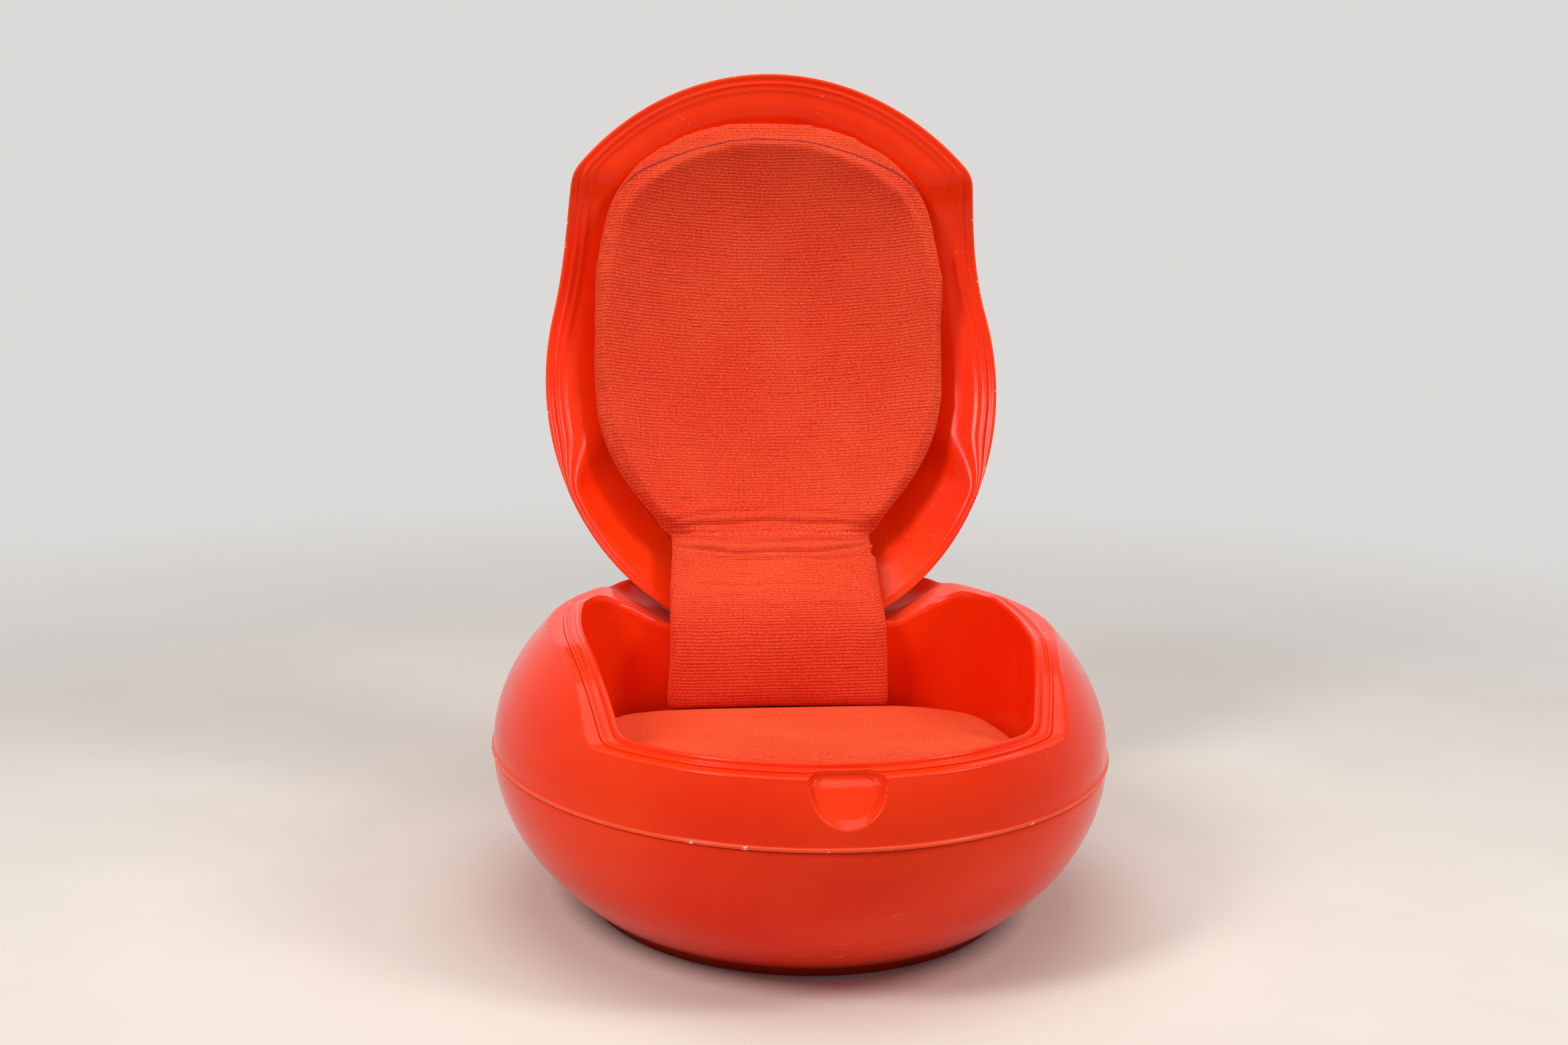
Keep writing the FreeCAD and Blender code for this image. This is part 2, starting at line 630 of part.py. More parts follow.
def make_body(name, profile, middle, width):
    """A bent steel plate: its side view, drawn in a sketch and padded both ways."""
    body = doc.addObject("PartDesign::Body", f"{name}Body")
    sketch = body.newObject("Sketcher::SketchObject", f"{name}Profile")
    plane = [item for item in body.Origin.OriginFeatures if item.Role == "YZ_Plane"][0]
    sketch.AttachmentSupport = [(plane, "")]
    sketch.MapMode = "FlatFace"
    points = [Vector(sheet_value(y), sheet_value(z), 0) for y, z in profile]
    for index, start in enumerate(points):
        sketch.addGeometry(Part.LineSegment(start, points[(index + 1) % len(points)]), False)
    for index, (y, z) in enumerate(profile):
        follower = (index + 1) % len(profile)
        sketch.addConstraint(Sketcher.Constraint("Coincident", index, 2, follower, 1))
        for kind, text, value in (("DistanceX", y, points[index].x), ("DistanceY", z, points[index].y)):
            place = sketch.addConstraint(Sketcher.Constraint(kind, -1, 1, index, 1, value))
            sketch.renameConstraint(place, f"{kind}{index}")
            sketch.setExpression(f"Constraints.{kind}{index}", formula(text))
    pad = body.newObject("PartDesign::Pad", f"{name}Pad")
    pad.Profile = sketch
    pad.Midplane = True
    pad.setExpression("Length", formula(width))
    body.setExpression("Placement.Base.x", formula(middle))
    doc.recompute()
    return body


def make_bracket(side, middle):
    """Steel bracket: foot plate on the tub's rear wall, strap up to the knuckle on the hinge axis."""
    face = "mouth_rear_depth"
    profile = [(f"{face} - plate_thickness", "bracket_foot_height"), (face, "bracket_foot_height"),
               (face, "bracket_bend_height"), ("hinge_depth + knuckle_radius / 2", "hinge_height"),
               ("hinge_depth - knuckle_radius / 2", "hinge_height + knuckle_radius / 2"),
               (f"{face} - plate_thickness", "bracket_bend_height + plate_thickness")]
    body = make_body(f"Bracket{side}", profile, middle, "bracket_width")
    half = "bracket_width / 2"
    knuckle = rod(f"BracketKnuckle{side}", "knuckle_radius", "bracket_width", "x",
                  (f"{middle} - {half}", "hinge_depth", "hinge_height"))
    bore = rod(f"BracketBore{side}", "pin_radius + running_gap", "2 * bracket_width", "x",
               (f"{middle} - bracket_width", "hinge_depth", "hinge_height"))
    holes = bolt_holes(f"BracketHoles{side}", middle)
    return cut(f"BracketShape{side}", fuse(f"BracketWelded{side}", body, knuckle),
               group(f"BracketTools{side}", bore, holes))


def make_leaf(side, middle):
    """Steel leaf under the lid: a plate on the boss with two ears down to the pin."""
    plate_low = "leaf_top_height - plate_thickness"
    ear_inner, ear_outer = "(bracket_width / 2 + ear_gap)", "(bracket_width / 2 + ear_gap + ear_width)"
    plate = block(f"LeafPlate{side}", (f"{middle} - leaf_half_width", "leaf_front_depth", plate_low),
                  (f"{middle} + leaf_half_width", "leaf_rear_depth", "leaf_top_height"))
    ears = []
    for hand, low in (("Inner", f"{middle} - {ear_outer}"), ("Outer", f"{middle} + {ear_inner}")):
        eye = rod(f"LeafEye{side}{hand}", "knuckle_radius", "ear_width", "x",
                  (low, "hinge_depth", "hinge_height"))
        web = block(f"LeafWeb{side}{hand}", (low, "hinge_depth - knuckle_radius", "hinge_height"),
                    (f"{low} + ear_width", "leaf_rear_depth", plate_low))
        ears += [eye, web]
    bore = rod(f"LeafBore{side}", "pin_radius + running_gap", "4 * bracket_width", "x",
               (f"{middle} - 2 * bracket_width", "hinge_depth", "hinge_height"))
    holes = leaf_screw_shanks(f"LeafHoles{side}", "bolt_radius + hole_gap", {side: middle},
                              "leaf_top_height - 2 * plate_thickness")
    return cut(f"LeafShape{side}", fuse(f"LeafSolid{side}", plate, *ears),
               group(f"LeafTools{side}", bore, holes))


def make_pin(side, middle):
    """Hinge pin with a flat head at each end."""
    reach = "(bracket_width / 2 + 2 * ear_gap + ear_width)"
    shank = rod(f"PinShank{side}", "pin_radius", f"2 * {reach}", "x",
                (f"{middle} - {reach}", "hinge_depth", "hinge_height"))
    heads = [rod(f"PinHead{side}{hand}", "pin_head_radius", "pin_head_length", "x",
                 (start, "hinge_depth", "hinge_height"))
             for hand, start in (("Inner", f"{middle} - {reach} - pin_head_length"),
                                 ("Outer", f"{middle} + {reach}"))]
    return fuse(f"PinShape{side}", shank, *heads)


def bolt_holes(name, middle):
    """Holes for a hinge's two bolts, through bracket, tub wall and backing plate."""
    length = "2 * plate_thickness + tub_wall + 2 * backing_thickness"
    holes = [rod(f"{name}{row}", "bolt_radius + hole_gap", length, "y",
                 (middle, "mouth_rear_depth - 2 * plate_thickness", height))
             for row, height in enumerate(("bolt_low_height", "bolt_high_height"))]
    return group(name, *holes)


def make_bolts(side, middle):
    """Two bolts with round heads on the bracket and nuts behind the backing plate."""
    head_start = "mouth_rear_depth - plate_thickness - bolt_head_height"
    nut_start = "mouth_rear_depth + tub_wall + backing_thickness"
    bolts = []
    for row, height in enumerate(("bolt_low_height", "bolt_high_height")):
        head = rod(f"BoltHead{side}{row}", "bolt_head_radius", "bolt_head_height", "y",
                   (middle, head_start, height))
        shank = rod(f"BoltShank{side}{row}", "bolt_radius",
                    "plate_thickness + tub_wall + backing_thickness + nut_height", "y",
                    (middle, "mouth_rear_depth - plate_thickness", height))
        nut = add("Part::Prism", f"BoltNut{side}{row}", Circumradius="nut_radius", Height="nut_height",
                  Placement__Base__x=middle, Placement__Base__y=nut_start, Placement__Base__z=height)
        nut.Polygon = 6
        nut.Placement = FreeCAD.Placement(Vector(0, 0, 0), FreeCAD.Rotation(Vector(1, 0, 0), -90))
        for axis, text in zip("xyz", (middle, nut_start, height)):
            nut.setExpression(f"Placement.Base.{axis}", formula(text))
        bolts.append(fuse(f"Bolt{side}{row}", head, shank, nut))
    return group(f"BoltSet{side}", *bolts)


def make_backing(side, middle):
    plate = block(f"BackingBlock{side}",
                  (f"{middle} - backing_half_width", "mouth_rear_depth + tub_wall", "bracket_foot_height"),
                  (f"{middle} + backing_half_width", "mouth_rear_depth + tub_wall + backing_thickness",
                   "bolt_low_height + bolt_high_height - bracket_foot_height"))
    return cut(f"BackingShape{side}", plate,
               bolt_holes(f"BackingHoles{side}", middle))


def make_leaf_screws(side, middle):
    screws = []
    plate_low = "leaf_top_height - plate_thickness"
    for row, depth in enumerate(("leaf_screw_front", "leaf_screw_rear")):
        for column, shift in enumerate(("- leaf_screw_spread", "+ leaf_screw_spread")):
            place = f"{middle} {shift}"
            tag = f"{side}{row}{column}"
            head = rod(f"LeafScrewHead{tag}", "bolt_head_radius", "leaf_screw_head", "z",
                       (place, depth, f"{plate_low} - leaf_screw_head"))
            shank = rod(f"LeafScrewShank{tag}", "bolt_radius", "plate_thickness + leaf_screw_length", "z",
                        (place, depth, plate_low))
            screws.append(fuse(f"LeafScrew{tag}", head, shank))
    return group(f"LeafScrews{side}", *screws)


def make_stop(side, middle):
    """Rubber stop on the back of the tub's rear wall; the open lid's edge rests against it."""
    low = size("stop_centre_height") - size("stop_radius")
    turn = math.radians(size("opening_angle") - 90)
    edge = size("hinge_height") - size("rim_rear_height") - size("lid_gap")
    contact = size("hinge_depth") - (edge + (size("hinge_height") - low) * math.sin(turn)) / math.cos(turn)
    start = size("mouth_rear_depth") + size("tub_wall")
    return rod(f"StopShape{side}", "stop_radius", str(contact - start - size("stop_gap")), "y",
               (middle, "mouth_rear_depth + tub_wall", "stop_centre_height"))


# ---------------------------------------------------------------- cushions

def make_seat_cushion():
    prism = mouth_prism("SeatPrism", "-seat_side_gap")
    above = cut("SeatAbove", prism, floor_region("SeatFloor", "cushion_gap"))
    slab = common("SeatSlab", above, floor_region("SeatTop", "cushion_gap + seat_thickness"))
    ahead = common("SeatAhead", slab, block(
        "SeatExtent", ("-2 * egg_half_width", "-2 * egg_half_depth", "-beyond"),
        ("2 * egg_half_width", "mouth_rear_depth - plate_thickness - bolt_head_height - seat_side_gap",
         "2 * upper_rise")))
    return ahead


def make_back_pad():
    """Upper half of the back pad, drawn closed against the inside of the lid."""
    plan = outline_object("PadOutline", Part.Face(pad_wire()))
    prism = extrude("PadPrism", plan, Vector(0, 0, 1), "equator_height + upper_rise - pad_top_floor",
                    Placement__Base__z="pad_top_floor")
    back = half_egg("PadBack", "upper_rise - lid_skin - cushion_gap", "lid_edge_thickness + cushion_gap")
    face = half_egg("PadFace", "upper_rise - lid_skin - pad_thickness", "lid_edge_thickness + pad_thickness")
    slab = cut("PadSlab", common("PadFilled", prism, back), face)
    return cut("PadShape", slab, stud_rods("StudPockets", "stud_radius + stud_pocket_gap"))


def make_flap():
    """Lower half of the back pad: hangs from the hinge in front of the tub's rear wall to the seat."""
    fall = math.tan(math.radians(size("seat_slope")))
    top = size("seat_floor_front_height") + size("seat_thickness") + 2 * size("cushion_gap")
    heights = [top - (size("seat_floor_front_reach") + size(depth)) * fall
               for depth in ("flap_front_depth", "flap_back_depth")]
    thick = size("flap_thickness")
    front, back = size("flap_front_depth"), size("flap_back_depth")
    bend, crown, behind = size("flap_bend_height"), size("flap_top_height"), size("flap_top_depth")
    points = [Vector(0, front, heights[0]), Vector(0, back, heights[1]), Vector(0, back, bend),
              Vector(0, behind, crown - thick / 2), Vector(0, behind - thick / 3, crown),
              Vector(0, front, bend + thick / 3)]
    side = outline_object("FlapSide", Part.Face(Part.makePolygon(points + points[:1])))
    flap = extrude("FlapRun", side, Vector(1, 0, 0), "2 * pad_waist_half_width", True)
    above = block("AboveFlap", ("-egg_half_width", "0", "flap_bend_height"),
                  ("egg_half_width", "egg_half_depth", "equator_height + upper_rise"))
    inset = "pad_thickness + flap_swing_gap"
    room = half_egg("FlapRoom", f"upper_rise - lid_skin - ({inset})",
                    f"lid_edge_thickness + {inset}")
    return cut("FlapShape", flap, cut("FlapTrim", above, room))


def stud_rods(name, radius):
    rods = []
    for row, depth in enumerate(("-stud_front_reach", "stud_rear_reach")):
        for column, side in enumerate(("-stud_offset", "stud_offset")):
            rods.append(rod(f"{name}{row}{column}", radius, "upper_rise", "z",
                            (side, depth, "equator_height")))
    height = f"(stud_height + {radius} - stud_radius)"
    band = cut(f"{name}Band", half_egg(f"{name}Outer", "upper_rise - lid_skin", "lid_edge_thickness"),
               half_egg(f"{name}Inner", f"upper_rise - lid_skin - {height}",
                        f"lid_edge_thickness + {height}"))
    return common(name, group(f"{name}Rods", *rods), band)


# ---------------------------------------------------------------- build, check and write

def main():
    nodes = {}
    nodes["lower_shell"] = make_lower_shell()
    nodes["upper_shell"] = make_upper_shell()
    tub = make_seat_tub()
    lid_pieces = {"lid_shell": make_lid(), "back_pad_upper": make_back_pad(),
                  "pad_press_studs": stud_rods("PressStuds", "stud_radius")}
    holes = []
    for side, middle in SIDES.items():
        hand = side.lower()
        holes.append(bolt_holes(f"TubHoles{side}", middle))
        nodes[f"hinge_bracket_{hand}"] = make_bracket(side, middle)
        nodes[f"hinge_pin_{hand}"] = make_pin(side, middle)
        nodes[f"bracket_bolts_{hand}"] = make_bolts(side, middle)
        nodes[f"backing_plate_{hand}"] = make_backing(side, middle)
        nodes[f"lid_stop_{hand}"] = make_stop(side, middle.replace("hinge_offset", "stop_offset"))
        lid_pieces[f"hinge_leaf_{hand}"] = make_leaf(side, middle)
        lid_pieces[f"leaf_screws_{hand}"] = make_leaf_screws(side, middle)
    nodes["seat_tub"] = cut("TubShape", tub, group("TubHoles", *holes))
    nodes["seat_cushion"] = make_seat_cushion()
    nodes["back_pad_lower"] = make_flap()
    opened = FreeCAD.Placement(Vector(0, 0, 0), FreeCAD.Rotation(Vector(1, 0, 0), -size("opening_angle")),
                               Vector(0, size("hinge_depth"), size("hinge_height")))
    doc.recompute()
    for piece in lid_pieces.values():
        piece.Placement = opened
    nodes.update(lid_pieces)
    doc.recompute()
    for name, piece in nodes.items():
        piece.Label = name
    failed = [item.Label for item in doc.Objects if {"Invalid", "Error"} & set(item.State)]
    failed += [name for name, piece in nodes.items() if piece.Shape.isNull() or not piece.Shape.isValid()]
    if failed:
        raise RuntimeError(f"not built: {failed}")
    os.makedirs("parts", exist_ok=True)
    for name, piece in nodes.items():
        piece.Shape.exportStep(f"parts/{name}.step")
        print(name, len(piece.Shape.Solids), "solids", round(piece.Shape.Volume / 1000), "cm3")


main()
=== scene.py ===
import json
import math

import bmesh
import bpy
import numpy as np
from mathutils import Matrix, Vector
from mathutils.bvhtree import BVHTree


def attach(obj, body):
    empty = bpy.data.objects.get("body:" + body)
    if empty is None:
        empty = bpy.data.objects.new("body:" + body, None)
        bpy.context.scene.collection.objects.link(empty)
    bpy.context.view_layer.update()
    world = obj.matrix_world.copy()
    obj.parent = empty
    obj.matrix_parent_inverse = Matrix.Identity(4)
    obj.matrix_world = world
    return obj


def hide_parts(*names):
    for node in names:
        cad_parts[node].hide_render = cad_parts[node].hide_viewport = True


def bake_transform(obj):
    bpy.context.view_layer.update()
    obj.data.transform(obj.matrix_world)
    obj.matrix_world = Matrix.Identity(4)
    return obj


# Egg-shaped lounge chair, lid open. Sizes are in millimetres until a mesh is made, then metres.
# +Z up, -Y is the front. "Closed" sizes describe the lid before it is swung open about its hinge.

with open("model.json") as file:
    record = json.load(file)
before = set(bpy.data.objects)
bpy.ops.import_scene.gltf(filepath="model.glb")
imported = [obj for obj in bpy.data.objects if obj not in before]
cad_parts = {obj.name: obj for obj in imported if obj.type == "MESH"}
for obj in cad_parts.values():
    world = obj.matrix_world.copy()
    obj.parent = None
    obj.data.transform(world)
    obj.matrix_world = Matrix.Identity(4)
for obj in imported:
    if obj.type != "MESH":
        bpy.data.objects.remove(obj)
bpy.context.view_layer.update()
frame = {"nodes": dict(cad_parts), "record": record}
nodes = frame["nodes"]
MM = 0.001

# ---------------------------------------------------------------- sizes

HALF_WIDTH, HALF_DEPTH = 377.5, 430.0
EQUATOR, RISE, DROP = 195.0, 255.0, 260.0
RIM_FRONT, RIM_REAR, RIM_CORNER, RIM_RADIUS = 268.6, 340.3, 271.0, 259.0
HINGE_Y, HINGE_Z, OPENING = 253.6, 356.6, math.radians(108.5)
MOUTH_FRONT, MOUTH_SIDE, MOUTH_REAR = (0.0, -374.0), (269.0, -5.0), 190.0
MOUTH_CORNER, MOUTH_REAR_CORNER = (234.0, -262.0), (250.0, MOUTH_REAR)
CORNER_RADIUS, REAR_CORNER_RADIUS = 24.0, 60.0
FLANGE, WALL = 22.0, 7.0
FLOOR_Z, FLOOR_REACH, FLOOR_SLOPE = 214.0, 330.0, math.tan(math.radians(8.4))
WELL_HALF, WELL_FLOOR_HALF, SADDLE = 237.0, 78.0, 296.0
SEAT_BACK = 40.0
BEAD, DECK_LIP = 2.5, 3.5
# the foot's edge against the last ring of the skin above it
FOOT_TUCK = 0.69 / 0.7035
RECESS_HALF, RECESS_DROP, RECESS_Z, RECESS_DEPTH, RECESS_BACK = 41.0, 46.0, 262.0, 28.0, 389.0
# heights between which every line round the egg is looked for, and a height nothing reaches
LOW_LINE, HIGH_LINE, OUT_OF_REACH = EQUATOR + 5, 346.0, 1e3


def smooth(low, high, value):
    """Smooth step from 0 at low to 1 at high."""
    share = np.clip((value - low) / (high - low), 0, 1)
    return share * share * (3 - 2 * share)


def soft_min(a, b, reach):
    """Smaller of two, with the corner between them rounded over a reach."""
    share = np.clip(0.5 + 0.5 * (b - a) / reach, 0, 1)
    return b * (1 - share) + a * share - reach * share * (1 - share)


def soft_max(a, b, reach):
    """Larger of two, with the corner between them rounded over a reach."""
    return -soft_min(-a, -b, reach)


def solve(function, low, high):
    """Root of a rising function of arrays, by halving."""
    for _ in range(40):
        middle = (low + high) / 2
        above = function(middle) > 0
        low, high = np.where(above, low, middle), np.where(above, middle, high)
    return (low + high) / 2


# ---------------------------------------------------------------- parting line, deck and well

def parting(y):
    """Height of the rim seen from the side, its front corner eased over a few millimetres."""
    climb = RIM_REAR - RIM_FRONT
    run = math.sqrt(RIM_RADIUS ** 2 - (RIM_RADIUS - climb) ** 2)
    total = 0
    shifts = np.linspace(-11, 11, 9)
    for shift in shifts:
        along = np.clip(y + shift, -RIM_CORNER, run - RIM_CORNER) + RIM_CORNER - run
        total = total + RIM_REAR - RIM_RADIUS + np.sqrt(RIM_RADIUS ** 2 - along ** 2)
    return total / len(shifts)


def tail_radius(x):
    """Reach of the lid's tail from the hinge axis."""
    share = 1 - ((RIM_REAR - EQUATOR) / RISE) ** 2 - (x / HALF_WIDTH) ** 2
    behind = HALF_DEPTH * np.sqrt(np.maximum(share, 0)) - HINGE_Y
    return np.hypot(np.maximum(behind, 0), HINGE_Z - RIM_REAR) + 4


def channel(x):
    """Height of the trough across the deck that the hinge and the lid's tail lie in."""
    bottom = HINGE_Z - tail_radius(0.0)
    slope = (RIM_REAR - bottom) / (WELL_HALF - WELL_FLOOR_HALF)
    return bottom + soft_max(np.abs(x) - WELL_FLOOR_HALF, 0, 12) * slope


def behind_seat(y):
    """Nothing over the well, a great height in front of it."""
    return np.where(y < SEAT_BACK, OUT_OF_REACH, 0.0)


def deck_height(x, y):
    """Top of the body outside the tub: level with the rim, with the well sunk behind the seat."""
    barrel = HINGE_Z - np.sqrt(np.maximum(tail_radius(x) ** 2 - np.maximum(y - HINGE_Y, 0) ** 2, 0))
    barrel = np.where(np.abs(x) < WELL_HALF + 20, barrel, OUT_OF_REACH)
    behind = smooth(HINGE_Y - 15, HINGE_Y + 15, y)
    return soft_min(parting(y), channel(x) * (1 - behind) + barrel * behind + behind_seat(y), 5)


def tub_height(x, y):
    """Top of the tub: level with the rim, lower where its rear wall makes the saddle."""
    return soft_min(parting(y), soft_max(channel(x), SADDLE, 6) + behind_seat(y), 5)


def seat_floor(y):
    """Height of the tub's floor, which slopes down to the rear."""
    return FLOOR_Z + (-y - FLOOR_REACH) * FLOOR_SLOPE


# ---------------------------------------------------------------- the egg's columns

def turns():
    """Directions round the egg, closer together at the finger recess in front."""
    coarse = np.radians(np.arange(0, 360, 0.9))
    near = 9.0
    coarse = coarse[(coarse > math.radians(near)) & (coarse < math.radians(360 - near))]
    return np.concatenate([np.radians(np.arange(-near, near + 0.01, 0.2)), coarse])


TURNS = turns()
WAY = np.stack([np.sin(TURNS), -np.cos(TURNS)])


def ring(z, inset=0.0, sink=0.0, up=True):
    """Plan of the egg at a height, set in from its outline."""
    drop = RISE if up else DROP
    share = np.sqrt(np.maximum(1 - ((z - EQUATOR) / (drop - sink)) ** 2, 0))
    reach = share / np.hypot(WAY[0] / (HALF_WIDTH - inset), WAY[1] / (HALF_DEPTH - inset))
    return WAY * reach


def row(plan, z):
    """One ring of points, from its plan and its heights."""
    return np.stack([plan[0], plan[1], np.broadcast_to(z, plan[0].shape)], axis=1)


def make_mesh(name, points, faces, edge_wear_and_highlight=None):
    """A smooth-shaded object from points in millimetres, its faces turned outwards."""
    mesh = bpy.data.meshes.new(name)
    mesh.from_pydata([tuple(point) for point in np.asarray(points, float) * MM], [],
                     [tuple(int(i) for i in face) for face in faces])
    shell = bmesh.new()
    shell.from_mesh(mesh)
    if edge_wear_and_highlight is not None:
        rubbed_and_highlit = shell.verts.layers.float.new("edge_wear_and_highlight")
        for vert, amount in zip(shell.verts, edge_wear_and_highlight):
            vert[rubbed_and_highlit] = amount
    bmesh.ops.remove_doubles(shell, verts=shell.verts, dist=1e-6)
    bmesh.ops.recalc_face_normals(shell, faces=shell.faces)
    shell.to_mesh(mesh)
    shell.free()
    mesh.shade_smooth()
    piece = bpy.data.objects.new(name, mesh)
    bpy.context.collection.objects.link(piece)
    return piece


def skin_rows(name, rows, first_pole=None, last_pole=None, worn_and_highlit=()):
    """A closed surface through rings of points; a pole closes an end, otherwise the rings join up."""
    count, columns = len(rows), len(rows[0])
    # rows listed here are drawn paler by the lacquer: part wear, part painted highlight on the rounded edges
    edge_wear_and_highlight = np.zeros(count * columns + 2)
    for k in worn_and_highlit:
        edge_wear_and_highlight[k * columns:(k + 1) * columns] = 1
    points = np.concatenate(rows)
    faces = []
    steps = count - 1 if first_pole is not None else count
    for k in range(steps):
        a = np.arange(columns) + k * columns
        b = np.roll(np.arange(columns), -1) + k * columns
        c, d = (b + columns) % (count * columns), (a + columns) % (count * columns)
        faces.extend(zip(a, b, c, d))
    for pole, k in ((first_pole, 0), (last_pole, count - 1)):
        if pole is not None:
            points = np.vstack([points, pole])
            a = np.arange(columns) + k * columns
            faces.extend(zip(a, np.roll(a, -1), [len(points) - 1] * columns))
    return make_mesh(name, points, faces, edge_wear_and_highlight)


# ---------------------------------------------------------------- mouth of the tub, in plan

def circle_through(a, b, c):
    """Centre and radius of the circle through three points."""
    a, b, c = np.array(a), np.array(b), np.array(c)
    ab, ac = b - a, c - a
    twist = 2 * (ab[0] * ac[1] - ab[1] * ac[0])
    away = np.array([ac[1] * ab.dot(ab) - ab[1] * ac.dot(ac),
                     ab[0] * ac.dot(ac) - ac[0] * ab.dot(ab)]) / twist
    return a + away, float(np.hypot(*away))


def mouth_outline():
    """Points and outward directions along the mouth, from its front middle round the right side."""
    other_corner = (-MOUTH_CORNER[0], MOUTH_CORNER[1])
    bow, bow_radius = circle_through(other_corner, MOUTH_FRONT, MOUTH_CORNER)
    flank, flank_radius = circle_through(MOUTH_CORNER, MOUTH_SIDE, MOUTH_REAR_CORNER)
    near, far = bow_radius - CORNER_RADIUS, flank_radius - CORNER_RADIUS
    gap = np.hypot(*(flank - bow))
    along = (gap ** 2 + near ** 2 - far ** 2) / (2 * gap)
    line = (flank - bow) / gap
    front = bow + line * along + np.array([-line[1], line[0]]) * math.sqrt(near ** 2 - along ** 2)
    rear_y = MOUTH_REAR - REAR_CORNER_RADIUS
    rear_reach = flank_radius - REAR_CORNER_RADIUS
    rear = np.array([flank[0] + math.sqrt(rear_reach ** 2 - (rear_y - flank[1]) ** 2), rear_y])

    def heading(point, centre):
        return math.atan2(point[0] - centre[0], -(point[1] - centre[1]))

    arcs = [(bow, bow_radius, 0, heading(front, bow)),
            (front, CORNER_RADIUS, heading(front, bow), heading(front, flank)),
            (flank, flank_radius, heading(front, flank), heading(rear, flank)),
            (rear, REAR_CORNER_RADIUS, heading(rear, flank), math.pi)]
    places, normals = [], []
    for centre, radius, start, end in arcs:
        for turn in np.linspace(start, end, 200, endpoint=False):
            normal = np.array([math.sin(turn), -math.cos(turn)])
            places.append(centre + normal * radius)
            normals.append(normal)
    for x in np.linspace(rear[0], 0, 60):
        places.append([x, MOUTH_REAR])
        normals.append([0, 1])
    places, normals = np.array(places), np.array(normals)
    flip = np.array([-1, 1])
    return (np.concatenate([places, places[-2:0:-1] * flip]),
            np.concatenate([normals, normals[-2:0:-1] * flip]))


def mouth_columns():
    """The mouth's points and outward directions, one for each direction round the egg."""
    places, normals = mouth_outline()
    grown = places + normals * FLANGE
    heading = np.unwrap(np.arctan2(grown[:, 0], -grown[:, 1]))
    wanted = np.mod(TURNS, 2 * math.pi)
    heading = np.concatenate([heading, [heading[0] + 2 * math.pi]])
    spots = [np.interp(wanted, heading, np.append(places[:, k], places[0, k])) for k in range(2)]
    ways = np.stack([np.interp(wanted, heading, np.append(normals[:, k], normals[0, k])) for k in range(2)])
    return np.stack(spots), ways / np.hypot(*ways)


MOUTH, MOUTH_WAY = mouth_columns()
NOTCH_DEPTH = 6.0
NOTCH = np.where(MOUTH[1] < 0, 1 - smooth(25, 32, np.abs(MOUTH[0])), 0)
FLANGE_HERE = FLANGE - (FLANGE - WALL) * smooth(120, 175, MOUTH[1])
RIM_FADE = 1 - smooth(100, 160, MOUTH[1])


def mouth_at(grow):
    """Plan of the mouth set out by a distance, drawn in at the finger notch."""
    scaled = grow * FLANGE_HERE / FLANGE
    return MOUTH + MOUTH_WAY * (scaled - NOTCH_DEPTH * NOTCH * smooth(6, 15, grow))


# ---------------------------------------------------------------- shells

def press_recess(plan, z):
    """Push the skin back where fingers reach under the lid's edge."""
    x, y = plan
    low = np.clip((RECESS_Z - z) / RECESS_DROP, 0, None)
    spread = np.hypot(x / RECESS_HALF, low)
    tilt = np.clip(low / np.maximum(spread, 1e-6), 0, 1) ** 2
    deep = RECESS_DEPTH * np.maximum(1 - spread ** 2, 0) ** (0.42 + 0.48 * tilt)
    room = np.maximum(-y - RECESS_BACK, 0)
    push = np.where(y < 0, np.maximum(soft_min(deep, room, 5), 0), 0)
    return np.stack([x, y + push])


def make_upper_shell():
    """Deck and upper skin of the egg: bead on the seam, finger recess, ledge round the tub, well behind."""
    edge = solve(lambda z: z - deck_height(*ring(z)),
                 np.full(TURNS.shape, LOW_LINE), np.full(TURNS.shape, HIGH_LINE))
    joint, joint_edge = EQUATOR - 2.0, EQUATOR - 2.3
    rows = [row(ring(joint, WALL), joint), row(ring(joint_edge), joint_edge)]
    for tilt in np.radians(np.linspace(-75, 75, 9)):
        rows.append(row(ring(EQUATOR, -BEAD * math.cos(tilt)), EQUATOR + BEAD * math.sin(tilt)))
    bead = range(3, len(rows) - 1)
    lip, start_height = DECK_LIP, EQUATOR + 3
    for share in np.concatenate([np.linspace(0, 0.18, 6), np.linspace(0.2, 1, 52)]):
        z = start_height + (edge - lip - start_height) * share
        rows.append(row(press_recess(ring(z), z), z))
    last = rows[-1][:, :2].T
    ledge = mouth_at(FLANGE + 0.5)
    inward = ledge - last
    length = np.maximum(np.hypot(*inward), 1e-6)
    lean = np.hypot(*(ring(edge - lip) - ring(edge)))
    start = np.minimum(lip + lean, length * 0.6)
    for turn in np.radians(np.linspace(15, 90, 6)):
        plan = last + inward / length * start * (1 - math.cos(turn))
        rows.append(row(plan, deck_height(*plan) - lip * (1 - math.sin(turn))))
    begin = rows[-1][:, :2].T
    for share in np.linspace(0, 1, 58)[1:]:
        plan = begin + (ledge - begin) * share
        rows.append(row(plan, deck_height(*plan)))
    lower = mouth_at(FLANGE + 0.2)
    rows.append(row(lower, deck_height(*ledge) - 1.2))
    rows.append(row(lower, deck_height(*ledge) - 4.5))
    rows.append(row(mouth_at(FLANGE + 4), deck_height(*ledge) - 9))
    inner = np.minimum(edge - 14, deck_height(*ledge) - 14)
    rows.append(row(ring(inner, WALL), inner))
    return skin_rows("egg_deck", rows, worn_and_highlit=bead)


